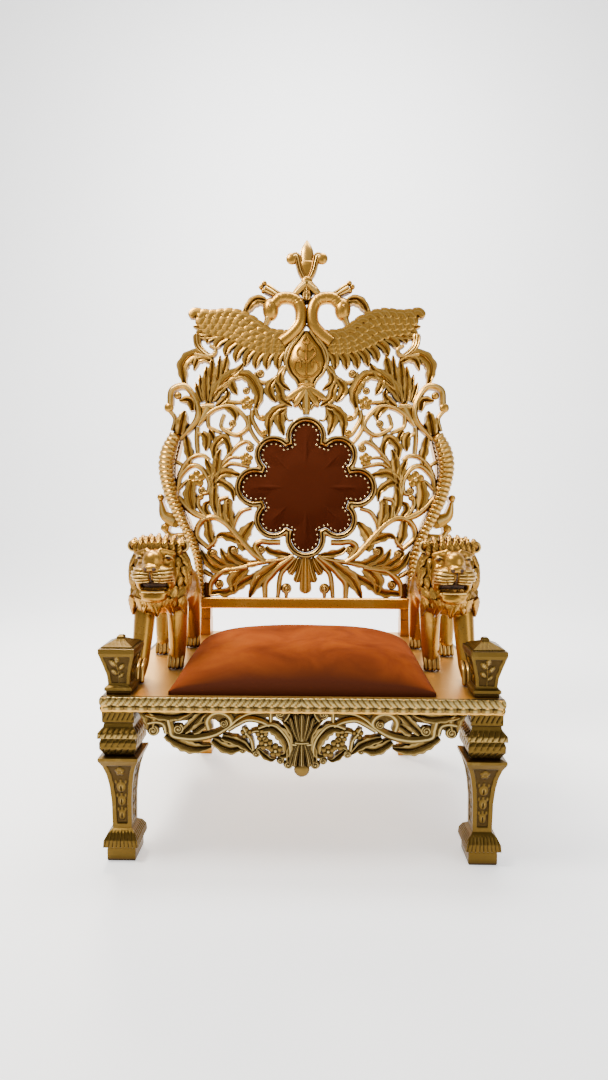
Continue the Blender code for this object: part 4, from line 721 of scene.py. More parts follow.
def carve_necks(carving):
    """Round swan necks with fine bands, heads, eyes and bills."""
    path, length = even_path(SWAN_NECK[2], 0.9)
    _, across = line_directions(path)
    turns = 2 * np.pi * np.arange(16) / 16
    radius = SWAN_NECK[1] / 2 * CARVING_UNIT * 1.14
    places = np.linspace(0, length, len(path))
    bands = 1.0 - 0.05 * (np.abs(np.sin(np.pi * places / 3.2)) < 0.4) * (places > length * 0.62)
    for side in (-1, 1):
        reach = (radius * bands)[:, None] * np.cos(turns)[None, :]
        rings = np.empty((len(path), len(turns), 3))
        rings[:, :, 0] = side * (path[:, None, 0] * CARVING_UNIT + across[:, None, 0] * reach)
        rings[:, :, 1] = path[:, None, 1] * CARVING_UNIT + across[:, None, 1] * reach
        rings[:, :, 2] = NECK_RISE + (radius * bands)[:, None] * np.sin(turns)[None, :]
        carving.loft(rings, 0.30 + 0.5 * (bands[:, None] > 0.97) * (np.sin(turns)[None, :] > -0.2))
        x, y, half = SWAN_HEAD
        head = (side * x * CARVING_UNIT, y * CARVING_UNIT, NECK_RISE)
        carving.ball(head, (half * 1.18 * CARVING_UNIT, half * 1.7 * CARVING_UNIT, radius * 1.15), 18, 12)
        # The eye's socket is marked low for painted shade and its bead full for a painted highlight.
        eye = (side * (x + 0.6) * CARVING_UNIT, (y + 1.0) * CARVING_UNIT, NECK_RISE + radius * 1.06)
        carving.ball(eye, (0.0072, 0.0072, 0.0040), 12, 6, 0.2)
        carving.ball((eye[0], eye[1], eye[2] + 0.0018), (0.0040, 0.0040, 0.0040), 10, 6, 1.0)


def turned_rings(rows, depth, steps=40):
    """Rings of a body turned round the middle line and flattened, from (half width, y) rows."""
    turns = 2 * np.pi * np.arange(steps) / steps
    widest = max(half for half, _ in rows) * CARVING_UNIT
    rings = []
    for half, y in rows:
        rings.append(np.stack([
            half * CARVING_UNIT * np.cos(turns), np.full(steps, y * CARVING_UNIT),
            half * CARVING_UNIT / widest * depth * np.sin(turns),
        ], axis=1))
    return np.array(rings)


def drop_surface(x, y):
    """How far out the drop's face is at a place on the drawing."""
    rows = smooth_path(DROP_OUTLINE)
    widest = max(half for half, _ in DROP_OUTLINE)
    half = float(np.interp(-y, -rows[:, 1], rows[:, 0]))
    share = max(0.0, 1.0 - (x / max(half, 1e-6)) ** 2)
    return DROP_DEPTH * half / widest * math.sqrt(share)


def carve_on_drop(carving, points, size):
    """A raised line of carving laid on the drop."""
    for x, y in even_path(points, 0.8)[0]:
        place = (x * CARVING_UNIT, y * CARVING_UNIT, drop_surface(x, y))
        carving.ball(place, (size * CARVING_UNIT, size * CARVING_UNIT, 0.0044), 8, 6)


def stroke_sides(stroke):
    """Both sides, or one alone for a stroke on the middle line."""
    return (1,) if all(x == 0 for x, _ in stroke[2]) else (-1, 1)


def carve_wings(carving):
    """The spread wings: a ground, long feathers, then rows of short ones over them."""
    for count, radius, points in SCALE_ROWS:
        carve_stroke(carving, ("stem", radius * 2.1, points), CARVING_UNIT, PLATE_BACK, -0.002, 0.004, count)
    roots = smooth_path(FEATHER_ROOTS)
    tips = smooth_path(FEATHER_TIPS)
    tips = tips + (tips - roots) / np.hypot(*(tips - roots).T)[:, None] * 3.0
    upper = even_path(WING_EDGE[2], 3.0)[0][:, :2]
    lower = even_path(FEATHER_ROOTS, 3.0)[0][:, :2]
    if np.hypot(*(upper[0] - lower[0])) > np.hypot(*(upper[0] - lower[-1])):
        lower = lower[::-1]
    shares = np.linspace(0.0, 1.0, 24)
    upper, lower = (
        np.stack([np.interp(shares, np.linspace(0, 1, len(line)), line[:, axis]) for axis in (0, 1)], axis=1)
        * CARVING_UNIT for line in (upper, lower)
    )
    for side in (-1, 1):
        rings = [
            [(side * a[0], a[1], PLATE_BACK), (side * a[0], a[1], 0.006),
             (side * b[0], b[1], 0.003), (side * b[0], b[1], PLATE_BACK)] for a, b in zip(upper, lower)
        ]
        # The ground is marked low: painted shade behind the feathers.
        carving.loft(np.array(rings), 0.12)
    for feather in reversed(range(FEATHERS)):
        at = round(feather * (len(roots) - 1) / (FEATHERS - 1))
        root = roots[at]
        tip = tips[at]
        bend = (root + tip) / 2 + np.array((2.0, 1.2))
        stroke = ("feather", FEATHER_WIDTH * 0.98, [root, bend, tip])
        lift = 0.0030 + 0.0030 * (FEATHERS - feather) / FEATHERS
        carve_stroke(carving, stroke, CARVING_UNIT, PLATE_BACK, lift, 0.0095, 0)
    low_turn = math.radians(-58.0)
    for tip in WING_TIPS:
        carve_stroke(carving, ("feather", 7.5, tip), CARVING_UNIT, PLATE_BACK, 0.0050, 0.0080, 0)
    carve_feather_row(carving, SCALE_ROWS[1][2], 12, (9.6, 10.0), low_turn, 0.0070)
    pairs = zip(SCALE_ROWS[0][2], SCALE_ROWS[1][2])
    between_rows = [((a[0] + b[0]) / 2, (a[1] + b[1]) / 2) for a, b in pairs]
    carve_feather_row(carving, between_rows, 12, (9.8, 9.8), low_turn, 0.0082)
    carve_feather_row(carving, SCALE_ROWS[0][2], 13, (10.0, 9.6), low_turn, 0.0095)
    carve_feather_row(carving, WING_EDGE[2], 13, (12.0, 8.6), math.radians(-34.0), 0.0110)


def carve_drop(carving):
    """The drop between the swans, with its edging, its sprig and the ringed collar under it."""
    carving.loft(turned_rings(smooth_path(DROP_OUTLINE, 6), DROP_DEPTH), 0.75)
    edge = smooth_path([(half + 1.2, y) for half, y in DROP_OUTLINE], 6)
    for side in (-1, 1):
        carve_stroke(carving, ("stem", 3.4, [(half, y) for half, y in edge[::6]]), CARVING_UNIT, PLATE_BACK,
                     0.008, 0.008, 1, (side,), 1.0)
    carve_on_drop(carving, [(0, 108), (0, 124), (0, 141)], 1.0)
    for side in (-1, 1):
        for sprig in DROP_SPRIG:
            carve_on_drop(carving, [(side * x, y) for x, y in sprig], 1.25)
    carving.loft(turned_rings(smooth_path(DROP_COLLAR, 4), DROP_DEPTH * 0.75), 0.8)


def carve_finial(carving):
    """The spear finial in its cup, and the faceted bud below the chevron."""
    carving.loft(turned_rings(smooth_path(SPEAR, 6), DROP_DEPTH / 2, 24), 0.85)
    carving.loft(turned_rings(smooth_path(FINIAL_CUP, 4), 0.017, 24), 0.7)
    carving.loft(turned_rings(CHEVRON_BUD, 0.021, 4), 0.9)


def make_crest(frame, look):
    """Two swans with spread wings round a drop, with a spear finial over them."""
    carving = Carving()
    carve_wings(carving)
    carve_necks(carving)
    for layer, stroke in enumerate(CREST_STROKES):
        sides = stroke_sides(stroke)
        carve_stroke(carving, stroke, CARVING_UNIT, PLATE_BACK, 0.004, 0.012, layer, sides, 1.0)
    for stroke in CREST_FINISH:
        sides = stroke_sides(stroke)
        carve_stroke(carving, stroke, CARVING_UNIT, PLATE_BACK, 0.008, 0.0125, 0, sides, 1.0)
    for x, y, size in list(CREST_BALLS[1:]) + PLUME_BALLS:
        for side in ((-1, 1) if x else (1,)):
            radius = size * CARVING_UNIT
            place = (side * x * CARVING_UNIT, y * CARVING_UNIT, 0.005)
            carving.ball(place, (radius, radius, 0.013), 18, 10)
    carve_drop(carving)
    carve_finial(carving)
    crest = carving.piece("swan_crest_carving", frame, look)
    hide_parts("swan_crest")


def pad_height(inset):
    """Height of the medallion pad's face at an inset from the medallion's edge."""
    edge = max(0.0, inset - MEDALLION_RIM)
    return PLATE_BACK + 0.001 + PAD_THICKNESS * (0.52 + 0.48 * math.sin(math.pi / 2 * min(1.0, edge / 26.0)))


def make_pad(frame, look):
    """The stuffed pad of the medallion, drawn down at its nailed edge."""
    edge = MEDALLION_RIM + 0.2
    levels = [(edge, PLATE_BACK + 0.001)]
    levels += [(edge + step * 1.6, pad_height(edge + step * 1.6)) for step in range(9)]
    rings = list(medallion_rings(levels))
    rim = rings[-1]
    rim_inset = levels[-1][0]
    for share in (0.88, 0.72, 0.54, 0.34, 0.12):
        round_part = (1.0 - share) ** 0.7
        radius = np.hypot(rim[:, 0], rim[:, 1])
        even = 1.0 + (radius.mean() / radius - 1.0) * round_part
        ring = rim * np.stack([share * even, share * even, np.ones(len(rim))], axis=1)
        ring[:, 2] = pad_height(rim_inset + (1 - share) * 45.0)
        rings.append(ring)
    carving = Carving()
    carving.loft(np.array(rings), 0.5)
    pad = carving.piece("medallion_cushion", frame, look, 80.0)
    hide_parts("medallion_pad")


def make_nails(frame, look):
    """Domed brass nails close together just inside the medallion's frame."""
    line = medallion_line(NAIL_INSET, 1024) * CARVING_UNIT
    closed = np.vstack([line, line[:1]])
    lengths = np.concatenate([[0.0], np.cumsum(np.hypot(*np.diff(closed, axis=0).T))])
    count = round(lengths[-1] / NAIL_SPACING)
    carving = Carving()
    height = pad_height(NAIL_INSET)
    for nail in range(count):
        at = lengths[-1] * nail / count
        place = [float(np.interp(at, lengths, closed[:, column])) for column in (0, 1)]
        carving.ball((*place, height), (NAIL_RADIUS, NAIL_RADIUS, NAIL_RADIUS * 0.75), 16, 10, 1.0)
    nails = carving.piece("medallion_nails", frame, look)


# Lower edge of the apron's solid ground, on its drawing
APRON_GROUND = [
    (163, -10), (156, -22), (146, -22), (139, -18), (128, -15), (112, -13), (92, -12), (84, -16), (72, -16),
    (56, -12), (40, -10), (20, -9), (0, -9),
]
# Heavier parts of the apron: the long scroll and the scrolls by the middle
APRON_FINISH = [
    ("stem", 8.5, [(137, -12), (135, -20), (133, -28), (122, -31), (108, -31.5), (90, -27.5), (76, -20)]),
    ("stem", 5.5, [(44.5, -20), (34, -16.5), (26, -18), (19, -25), (14, -33), (12, -42), (12, -51)]),
]
# The fan, the bell under it and the collar between them, over the apron's middle bar
APRON_MIDDLE = [
    ("lobe", 6.0, [(0, -33), (0, -18), (0, -3)]), ("lobe", 5.0, [(2, -33), (5, -18), (7, -4)]),
    ("lobe", 4.5, [(4, -33), (9, -20), (12, -8)]), ("lobe", 6.5, [(0, -36), (0, -48), (0, -60)]),
    ("lobe", 5.5, [(3, -36), (6, -48), (8, -60)]), ("lobe", 4.5, [(5, -36), (9.5, -48), (12.5, -58)]),
    ("stem", 4.5, [(-7, -34.5), (0, -35), (7, -34.5)]),
]


def make_apron(front_y, look):
    """The openwork apron between the front legs."""
    unit = (LEG_X - LEG_BLOCK / 2 * LEG_SWELL - FIT) / APRON_HALF
    carving = Carving()
    back = 0.0
    base = APRON_THICKNESS - APRON_RELIEF
    line = smooth_path(APRON_GROUND, 6)
    for side in (-1, 1):
        rings = [
            [(side * x * unit, -0.0005, back + 0.001), (side * x * unit, -0.0005, base + 0.001),
             (side * x * unit, y * unit, base + 0.001), (side * x * unit, y * unit, back + 0.001)]
            for x, y in line
        ]
        # The ground is marked low: painted shade behind the strokes.
        carving.loft(np.array(rings), 0.12)
    for layer, stroke in enumerate(APRON_STROKES):
        carve_stroke(carving, stroke, unit, back, base, 0.0095, layer, stroke_sides(stroke), 1.5)
    for lift, strokes in ((0.0025, APRON_FINISH), (0.0085, APRON_MIDDLE)):
        for layer, stroke in enumerate(strokes):
            sides = (1,) if stroke[2][0][0] <= 0 else (-1, 1)
            carve_stroke(carving, stroke, unit, back, base + lift, 0.0095, layer, sides, 1.2)
    balls = [(x, y, size * 0.95) for x, y, size in APRON_BALLS]
    carve_balls(carving, balls, APRON_FLOWERS, unit, base + 0.003)
    place = Matrix.Translation((0.0, front_y + APRON_SETBACK + APRON_THICKNESS, RIM_BOTTOM - 0.0015))
    apron = carving.piece("front_apron_carving", place @ Matrix.Rotation(math.pi / 2, 4, "X"), look)
    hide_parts("front_apron")


def comb(value, pitch, share=0.22):
    """1 in narrow cuts a pitch apart, 0 between them."""
    phase = np.abs((value / pitch) % 1.0 - 0.5) * 2.0
    return np.clip((phase - (1.0 - share)) / share, 0.0, 1.0)


def between(value, low, high, soft=0.0012):
    """1 between two heights, with soft ends."""
    return np.clip((value - low) / soft, 0, 1) * np.clip((high - value) / soft, 0, 1)


def bump(x, z, place, size):
    """A rounded boss at a place on a face."""
    away = ((x - place[0]) / size[0]) ** 2 + ((z - place[1]) / size[1]) ** 2
    return np.sqrt(np.clip(1.0 - away, 0, 1))


def leg_rows():
    """Half width and height down a front leg, as its solid has them."""
    top = RIM_BOTTOM - FIT
    block = LEG_BLOCK / 2
    foot = LEG_FOOT / 2
    shaft = LEG_SHAFT / 2
    collar = LEG_COLLAR / 2
    return [(half, share * top) for half, share in [
        (block, 1.0), (block, 0.925), (foot, 0.915), (block * 0.95, 0.892), (block * 1.23, 0.862),
        (block * LEG_SWELL, 0.826), (block * 1.08, 0.818), (block * 1.16, 0.795), (block * 1.16, 0.755),
        (block * 0.95, 0.718), (block * 0.91, 0.706), (collar, 0.697), (collar, 0.680),
        (collar * 0.82, 0.635), (collar * 0.68, 0.575), (collar * 0.58, 0.500), (shaft, 0.400),
        (shaft * 0.95, 0.205), (foot * 0.95, 0.185), (foot * 1.18, 0.145), (foot * 1.22, 0.100),
        (foot * 0.98, 0.087), (foot, 0.070), (foot, 0.012), (foot * 0.95, 0.0),
    ]]


def post_rows():
    """Half width and height down a corner post, as its solid has them."""
    cap = POST_CAP / 2
    foot = POST_FOOT / 2
    return [(half, SEAT_HEIGHT + FIT + share * POST_HEIGHT) for half, share in [
        (cap * 0.12, 1.0), (cap * 0.20, 0.975), (cap * 0.20, 0.94), (cap * 0.86, 0.845), (cap * 0.86, 0.825),
        (cap, 0.815), (cap, 0.735), (cap * 0.96, 0.700), (cap * 0.78, 0.500), (cap * 0.64, 0.330),
        (cap * 0.60, 0.170), (foot * 0.82, 0.150), (foot, 0.125), (foot, 0.075), (foot * 0.88, 0.055),
        (foot * 0.88, 0.0),
    ]]


def leg_carving(x, z, half):
    """Depth of the carving on a front leg's face: panel, cuts, scallops and flutes."""
    depth = -0.0026 * comb(x - z * 0.5, 0.0135, 0.42) * between(z, 0.399, 0.420)
    depth -= 0.0024 * comb(x - z * 0.5, 0.0150, 0.40) * between(z, 0.353, 0.377)
    depth += 0.0020 * np.abs(np.cos(np.pi * x / 0.021)) * between(z, 0.352, 0.364)
    depth -= 0.0022 * comb(x - z * 0.5, 0.0165, 0.42) * between(z, 0.328, 0.346)
    depth -= 0.0022 * comb(x - z * 0.5, 0.0165, 0.42) * between(z, 0.306, 0.322)
    frame = half - 0.0115
    inside = between(z, 0.100, 0.272) * np.clip((frame - np.abs(x)) / 0.0012, 0, 1)
    depth -= 0.0030 * inside
    for bud in range(3):
        middle = 0.126 + bud * 0.040
        wide = 0.0105 + bud * 0.0018
        depth += 0.0034 * bump(x, z, (0.0, middle), (wide, 0.0165)) * inside
        depth -= 0.0030 * bump(x, z, (0.0, middle - 0.004), (0.0022, 0.009)) * inside
        depth += 0.0024 * bump(x, z, (0.0, middle + 0.019), (0.0040, 0.0045)) * inside
        for side in (-1, 1):
            depth += 0.0022 * bump(x, z, (side * wide * 0.95, middle + 0.015), (0.0042, 0.0080)) * inside
    for petal in range(5):
        turn = 2 * math.pi * petal / 5 + math.pi / 2
        place = (0.0082 * math.cos(turn), 0.254 + 0.0082 * math.sin(turn))
        depth += 0.0030 * bump(x, z, place, (0.0062, 0.0062)) * inside
    depth += 0.0020 * bump(x, z, (0.0, 0.254), (0.0035, 0.0035)) * inside
    flutes = 0.0024 * comb(x * (1.0 + 6.0 * (z - 0.040)), 0.0112, 0.5)
    return depth - flutes * between(z, 0.040, 0.082)


# Leaves of a corner post's sprig: share of the panel's height, side and size
POST_LEAVES = [(0.30, 1, 0.8), (0.42, -1, 1.0), (0.62, 1, 1.0), (0.76, -1, 1.1), (0.90, 0, 0.9)]


def post_carving(x, z, half):
    """Depth of the carving on a corner post: a framed panel with a sprig, and a scored cap."""
    low = SEAT_HEIGHT + POST_HEIGHT * 0.19
    high = SEAT_HEIGHT + POST_HEIGHT * 0.68
    inside = between(z, low, high) * np.clip((half - 0.0085 - np.abs(x)) / 0.0012, 0, 1)
    depth = -0.0026 * inside
    tall = high - low
    depth += 0.0026 * np.exp(-((x - 0.0015 * np.sin((z - low) * 90)) / 0.0016) ** 2) * inside
    for share, side, size in POST_LEAVES:
        lean = (x - side * 0.0105 * size) * 0.85 - side * (z - low - share * tall) * 0.45
        rise = (z - low - share * tall) + side * (x - side * 0.0105 * size) * 0.25
        leaf = np.sqrt(np.clip(1 - (lean / (0.0072 * size)) ** 2 - (rise / (0.0125 * size)) ** 2, 0, 1))
        veins = 0.0016 * (leaf > 0.1) * comb(rise + np.abs(lean) * 1.3, 0.0042, 0.4)
        depth += (0.0036 * leaf - veins) * inside
    cap = SEAT_HEIGHT + POST_HEIGHT * 0.815
    depth -= 0.0018 * comb(x, 0.0078, 0.4) * between(z, cap, cap + 0.0040, 0.0006)
    slope = SEAT_HEIGHT + POST_HEIGHT * 0.85
    scores = comb(x + z * 1.1, 0.0110, 0.45) * comb(z, 0.0062, 0.7)
    depth -= 0.0024 * scores * between(z, slope, slope + 0.014)
    return depth


def square_post(name, rows, centre, carving_of, step, columns, look):
    """A square turned post whose four faces carry fine carving."""
    low = rows[-1][1]
    high = rows[0][1]
    levels = np.unique(np.concatenate([np.arange(low, high, step), [row[1] for row in rows]]))
    heights = [row[1] for row in reversed(rows)]
    halves = np.interp(levels, heights, [row[0] for row in reversed(rows)])
    spread = np.linspace(-1.0, 1.0, columns)
    x = halves[:, None] * spread[None, :]
    edge = np.clip((1.0 - np.abs(spread)) / 0.06, 0, 1)[None, :]
    depth = carving_of(x, levels[:, None], halves[:, None]) * edge
    out = halves[:, None] + depth
    corners = []
    marks = []
    for face in range(4):
        turn = face * math.pi / 2
        flat_x = x * math.cos(turn) + out * math.sin(turn)
        flat_y = x * math.sin(turn) - out * math.cos(turn)
        corners.append(np.stack([flat_x, flat_y, np.broadcast_to(levels[:, None], x.shape)], axis=2)[:, :-1])
        # Painted shade in the cuts and painted highlights on the raised carving, through the marks.
        marks.append(np.clip(0.80 + depth / 0.0026, 0.0, 1.0)[:, :-1])
    carving = Carving()
    carving.loft(np.concatenate(corners, axis=1), np.concatenate(marks, axis=1))
    post = carving.piece(name + "_carving", Matrix.Translation((*centre, 0.0)), look)
    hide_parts(name)


def make_square_posts(front_y, look):
    """Front legs and the corner posts above them."""
    for side, word in ((-1, "left"), (1, "right")):
        centre = (side * LEG_X, front_y + LEG_Y)
        square_post("front_leg_" + word, leg_rows(), centre, leg_carving, 0.0024, 49, look)
        square_post("corner_post_" + word, post_rows(), centre, post_carving, 0.0016, 45, look)


# The rim's section from the top down: share of its height, and how far it stands out
RIM_PROFILE = [
    (1.0, -0.0022), (0.97, -0.0004), (0.90, 0.0010), (0.80, 0.0018), (0.68, 0.0022), (0.56, 0.0016),
    (0.45, 0.0004), (0.40, -0.0010), (0.34, 0.0004), (0.26, 0.0010), (0.16, 0.0002), (0.08, -0.0016),
    (0.02, -0.0034),
]


def rim_strip(carving, start, end, outward, lean):
    """One side of the seat's rim: slanting leaves above, round lobes under them."""
    start = np.array(start, float)
    end = np.array(end, float)
    outward = np.array(outward, float)
    length = float(np.hypot(*(end - start)))
    lobes = max(1, round(length / RIM_LOBE))
    count = lobes * 16 + 1
    places = np.linspace(0.0, length, count)
    middle = places - length / 2
    pitch = length / lobes
    heights, bulge = np.array(RIM_PROFILE).T
    z = RIM_BOTTOM + heights * RIM_HEIGHT + 0.0006
    slope = np.where(middle < 0, 1.0, -1.0) * lean
    slash = comb(middle[:, None] - slope[:, None] * (z[None, :] - RIM_BOTTOM) * 0.75, pitch / 2, 0.30)
    lobe = np.abs(np.sin(np.pi * places / pitch))[:, None] * np.ones_like(z)[None, :]
    upper = heights[None, :] > 0.42
    depth = bulge[None, :] - 0.0026 * slash * upper
    depth = depth - 0.0034 * (1.0 - lobe ** 0.6) * ~upper
    line = start[None, :] + (end - start)[None, :] * (places / length)[:, None]
    heading = (end - start) / length
    mitre = np.zeros(count)
    mitre[0], mitre[-1] = -1.0, 1.0
    depth[[0, -1]] = bulge
    columns = len(z)
    rings = np.empty((count, columns + 2, 3))
    rings[:, 1:-1, :2] = line[:, None, :] + outward[None, None, :] * depth[:, :, None]
    rings[:, 1:-1, :2] += heading[None, None, :] * (depth * mitre[:, None])[:, :, None]
    rings[:, 1:-1, 2] = z[None, :]
    for edge, beside in ((0, 1), (-1, -2)):
        rings[:, edge] = rings[:, beside]
        rings[:, edge, :2] = line - outward[None, :] * 0.0105
    shade = np.clip(0.95 - slash * upper - (1.0 - lobe ** 0.6) * ~upper, 0.0, 1.0)
    carving.loft(rings, np.concatenate([np.zeros((count, 1)), shade, np.zeros((count, 1))], axis=1))


def make_rim(front_y, look):
    """The gadrooned moulding round the seat board."""
    half = SEAT_WIDTH / 2
    back = front_y + SEAT_DEPTH
    carving = Carving()
    rim_strip(carving, (-half, front_y), (half, front_y), (0, -1), 1)
    rim_strip(carving, (half, front_y), (half, back), (1, 0), 1)
    rim_strip(carving, (-half, back), (-half, front_y), (-1, 0), 1)
    rim = carving.piece("seat_rim", Matrix.Identity(4), look)


# Lion, in millimetres: facing -y, standing on z = 0, with -x the outer side of the left one
MANE_MIDDLE = np.array((0.0, -84.0, 296.0))
MANE_REACH = np.array((88.0, 54.0, 102.0))
BIB_MIDDLE = np.array((0.0, -102.0, 229.0))
BIB_REACH = np.array((85.0, 57.0, 50.0))
WHISKER_PAD = np.array((26.0, -168.0, 306.0))
WHISKER_REACH = np.array((35.0, 35.0, 27.0))
LOCK_WIDTH = 23.0
LOCK_LENGTH = 50.0
LOCK_RISE = 9.0
LION_PAWS = [
    ((-46, -88, 196), (-45, -160, 44), (-44, -186)), ((46, -62, 196), (40, -52, 44), (38, -44)),
    ((-44, 138, 196), (-43, 110, 44), (-42, 118)), ((42, 168, 196), (40, 200, 44), (40, 212)),
]
SKIN_VOXEL = 3.6
SMOOTH_ROUNDS = 4


def add_ball(bm, centre, radii, segments=28, rings=18):
    """A closed ellipsoid."""
    place = Matrix.Translation(centre) @ Matrix.Diagonal((*radii, 1.0))
    bmesh.ops.create_uvsphere(bm, u_segments=segments, v_segments=rings, radius=1.0, matrix=place)


def add_limb(bm, start, end, start_radius, end_radius, sides=24):
    """A closed tapered limb with round ends."""
    start = Vector(start)
    end = Vector(end)
    along = end - start
    turn = along.to_track_quat("Z", "Y").to_matrix().to_4x4()
    place = Matrix.Translation((start + end) / 2) @ turn
    bmesh.ops.create_cone(bm, cap_ends=True, segments=sides, radius1=start_radius, radius2=end_radius,
                          depth=along.length, matrix=place)
    add_ball(bm, start, (start_radius,) * 3, sides, 14)
    add_ball(bm, end, (end_radius,) * 3, sides, 14)


def lion_masses(bm):
    """Body, legs, tail, and the head with its open mouth."""
    add_limb(bm, (0, -50, 236), (0, 158, 226), 66, 62)
    add_ball(bm, (-26, 160, 206), (44, 66, 78))
    add_ball(bm, (26, 172, 206), (44, 66, 78))
    add_ball(bm, MANE_MIDDLE, MANE_REACH)
    add_ball(bm, BIB_MIDDLE, BIB_REACH)
    for shoulder, ankle, paw in LION_PAWS:
        add_limb(bm, shoulder, ankle, 33, 25)
        add_limb(bm, ankle, (paw[0], paw[1] + 2, 22), 25, 22)
    add_limb(bm, (0, 222, 232), (26, 236, 120), 13, 11)
    add_limb(bm, (26, 236, 120), (18, 232, 50), 11, 17)
    add_ball(bm, (0, -118, 332), (58, 54, 60))
    add_ball(bm, (0, -98, 366), (64, 44, 40))
    add_ball(bm, (0, -166, 346), (31, 32, 30))
    add_ball(bm, (0, -194, 327), (24, 18, 12))
    add_limb(bm, (-35, -170, 252), (35, -170, 252), 8, 8)
    add_limb(bm, (-30, -150, 246), (30, -150, 246), 15, 15)
    add_ball(bm, (0, -162, 238), (38, 24, 17))
    for side in (-1, 1):
        add_ball(bm, (side * WHISKER_PAD[0], WHISKER_PAD[1], WHISKER_PAD[2]), WHISKER_REACH)
        add_ball(bm, (side * 44, -138, 298), (16, 32, 46))
        add_limb(bm, (side * 20, -160, 374), (side * 52, -138, 362), 8, 9)
        add_ball(bm, (side * 42, -154, 352), (11, 10, 7))
        add_ball(bm, (side * 74, -96, 380), (17, 12, 19))


def lion_skin():
    """The masses joined under one smooth skin."""
    bm = bmesh.new()
    lion_masses(bm)
    mesh = bpy.data.meshes.new("lion_masses")
    bm.to_mesh(mesh)
    bm.free()
    rough = bpy.data.objects.new("lion_masses", mesh)
    bpy.context.scene.collection.objects.link(rough)
    skin = rough.modifiers.new("one skin", "REMESH")
    skin.mode = "VOXEL"
    skin.voxel_size = SKIN_VOXEL
    shown = rough.evaluated_get(bpy.context.evaluated_depsgraph_get())
    joined = bpy.data.meshes.new_from_object(shown)
    bpy.data.objects.remove(rough)
    bm = bmesh.new()
    bm.from_mesh(joined)
    for _ in range(SMOOTH_ROUNDS):
        bmesh.ops.smooth_vert(
            bm, verts=bm.verts, factor=0.5, use_axis_x=True, use_axis_y=True, use_axis_z=True)
    points = np.array([vert.co for vert in bm.verts])
    faces = [tuple(vert.index for vert in face.verts) for face in bm.faces]
    bm.free()
    points[:, 2] = np.maximum(points[:, 2], 0.0)
    return points, faces


def add_cord(carving, points, radii, mark=0.8, sides=10, round_trip=False):
    """A round bar along a line in space."""
    points = np.array(points, float)
    radii = np.broadcast_to(np.asarray(radii, float), (len(points),))
    along = np.gradient(points, axis=0)
    along /= np.maximum(np.linalg.norm(along, axis=1), 1e-9)[:, None]
    guide = np.array((0.0, -1.0, 0.0)) if np.abs(along[:, 1]).max() < 0.9 else np.array((1.0, 0.0, 0.0))
    across = np.cross(along, guide)
    across /= np.maximum(np.linalg.norm(across, axis=1), 1e-9)[:, None]
    over = np.cross(across, along)
    turns = 2 * np.pi * np.arange(sides) / sides
    rings = points[:, None, :] + radii[:, None, None] * (
        across[:, None, :] * np.cos(turns)[None, :, None] + over[:, None, :] * np.sin(turns)[None, :, None]
    )
    carving.loft(rings, mark, round_trip=round_trip)


def add_lock(carving, root, tip, normal, width, rise, point=0.94):
    """One lock of hair with hatching that runs to its middle line."""
    root = np.array(root, float)
    tip = np.array(tip, float)
    normal = np.array(normal, float)
    normal /= np.linalg.norm(normal)
    along = tip - root
    across = np.cross(along, normal)
    across /= max(np.linalg.norm(across), 1e-9)
    spread = np.linspace(-1.0, 1.0, 11)
    dome = (1.0 - spread ** 2) ** 0.32
    rings = []
    marks = []
    steps = 13
    for step in range(steps + 1):
        t = step / steps
        swell = 0.60 + 0.40 * math.sin(math.pi * min(1.0, t * 1.4 + 0.2))
        half = width / 2 * swell * (1.0 - point * t ** 2.6)
        middle = root + along * t + normal * (rise * 0.55 * math.sin(math.pi * t) - 1.0)
        hatch = 0.5 + 0.5 * np.cos(2 * np.pi * (1.5 * np.abs(spread) - 4.5 * t))
        height = rise * dome * (0.66 + 0.34 * hatch) * (1.0 - 0.45 * t)
        top = middle + across * (half * spread)[:, None] + normal * height[:, None]
        low = middle + across * (half * np.array((1.0, -1.0)))[:, None] - normal * 9.0
        rings.append(np.concatenate([top, low]))
        # The hatching cuts are marked low: painted shade, with painted highlights on the strands between
        # them.
        marks.append(np.concatenate([np.where(dome > 0.3, 0.12 + 0.88 * hatch, 0.0), (0.0, 0.0)]))
    carving.loft(np.array(rings), np.array(marks))


def mane_point(turn, rise, out=0.0):
    """A point on the mane: turn from the front round to the back, rise from its waist."""
    reach = MANE_REACH + out
    return MANE_MIDDLE + reach * np.array((
        math.cos(rise) * math.sin(turn), -math.cos(rise) * math.cos(turn), math.sin(rise),
    ))


def bib_point(x, z, out=0.0):
    """A point on the bib's front."""
    share = 1.0 - (x / BIB_REACH[0]) ** 2 - 0.6 * ((z - BIB_MIDDLE[2]) / BIB_REACH[2]) ** 2
    return np.array((x, BIB_MIDDLE[1] - BIB_REACH[1] * math.sqrt(max(0.0, share)) - out, z))


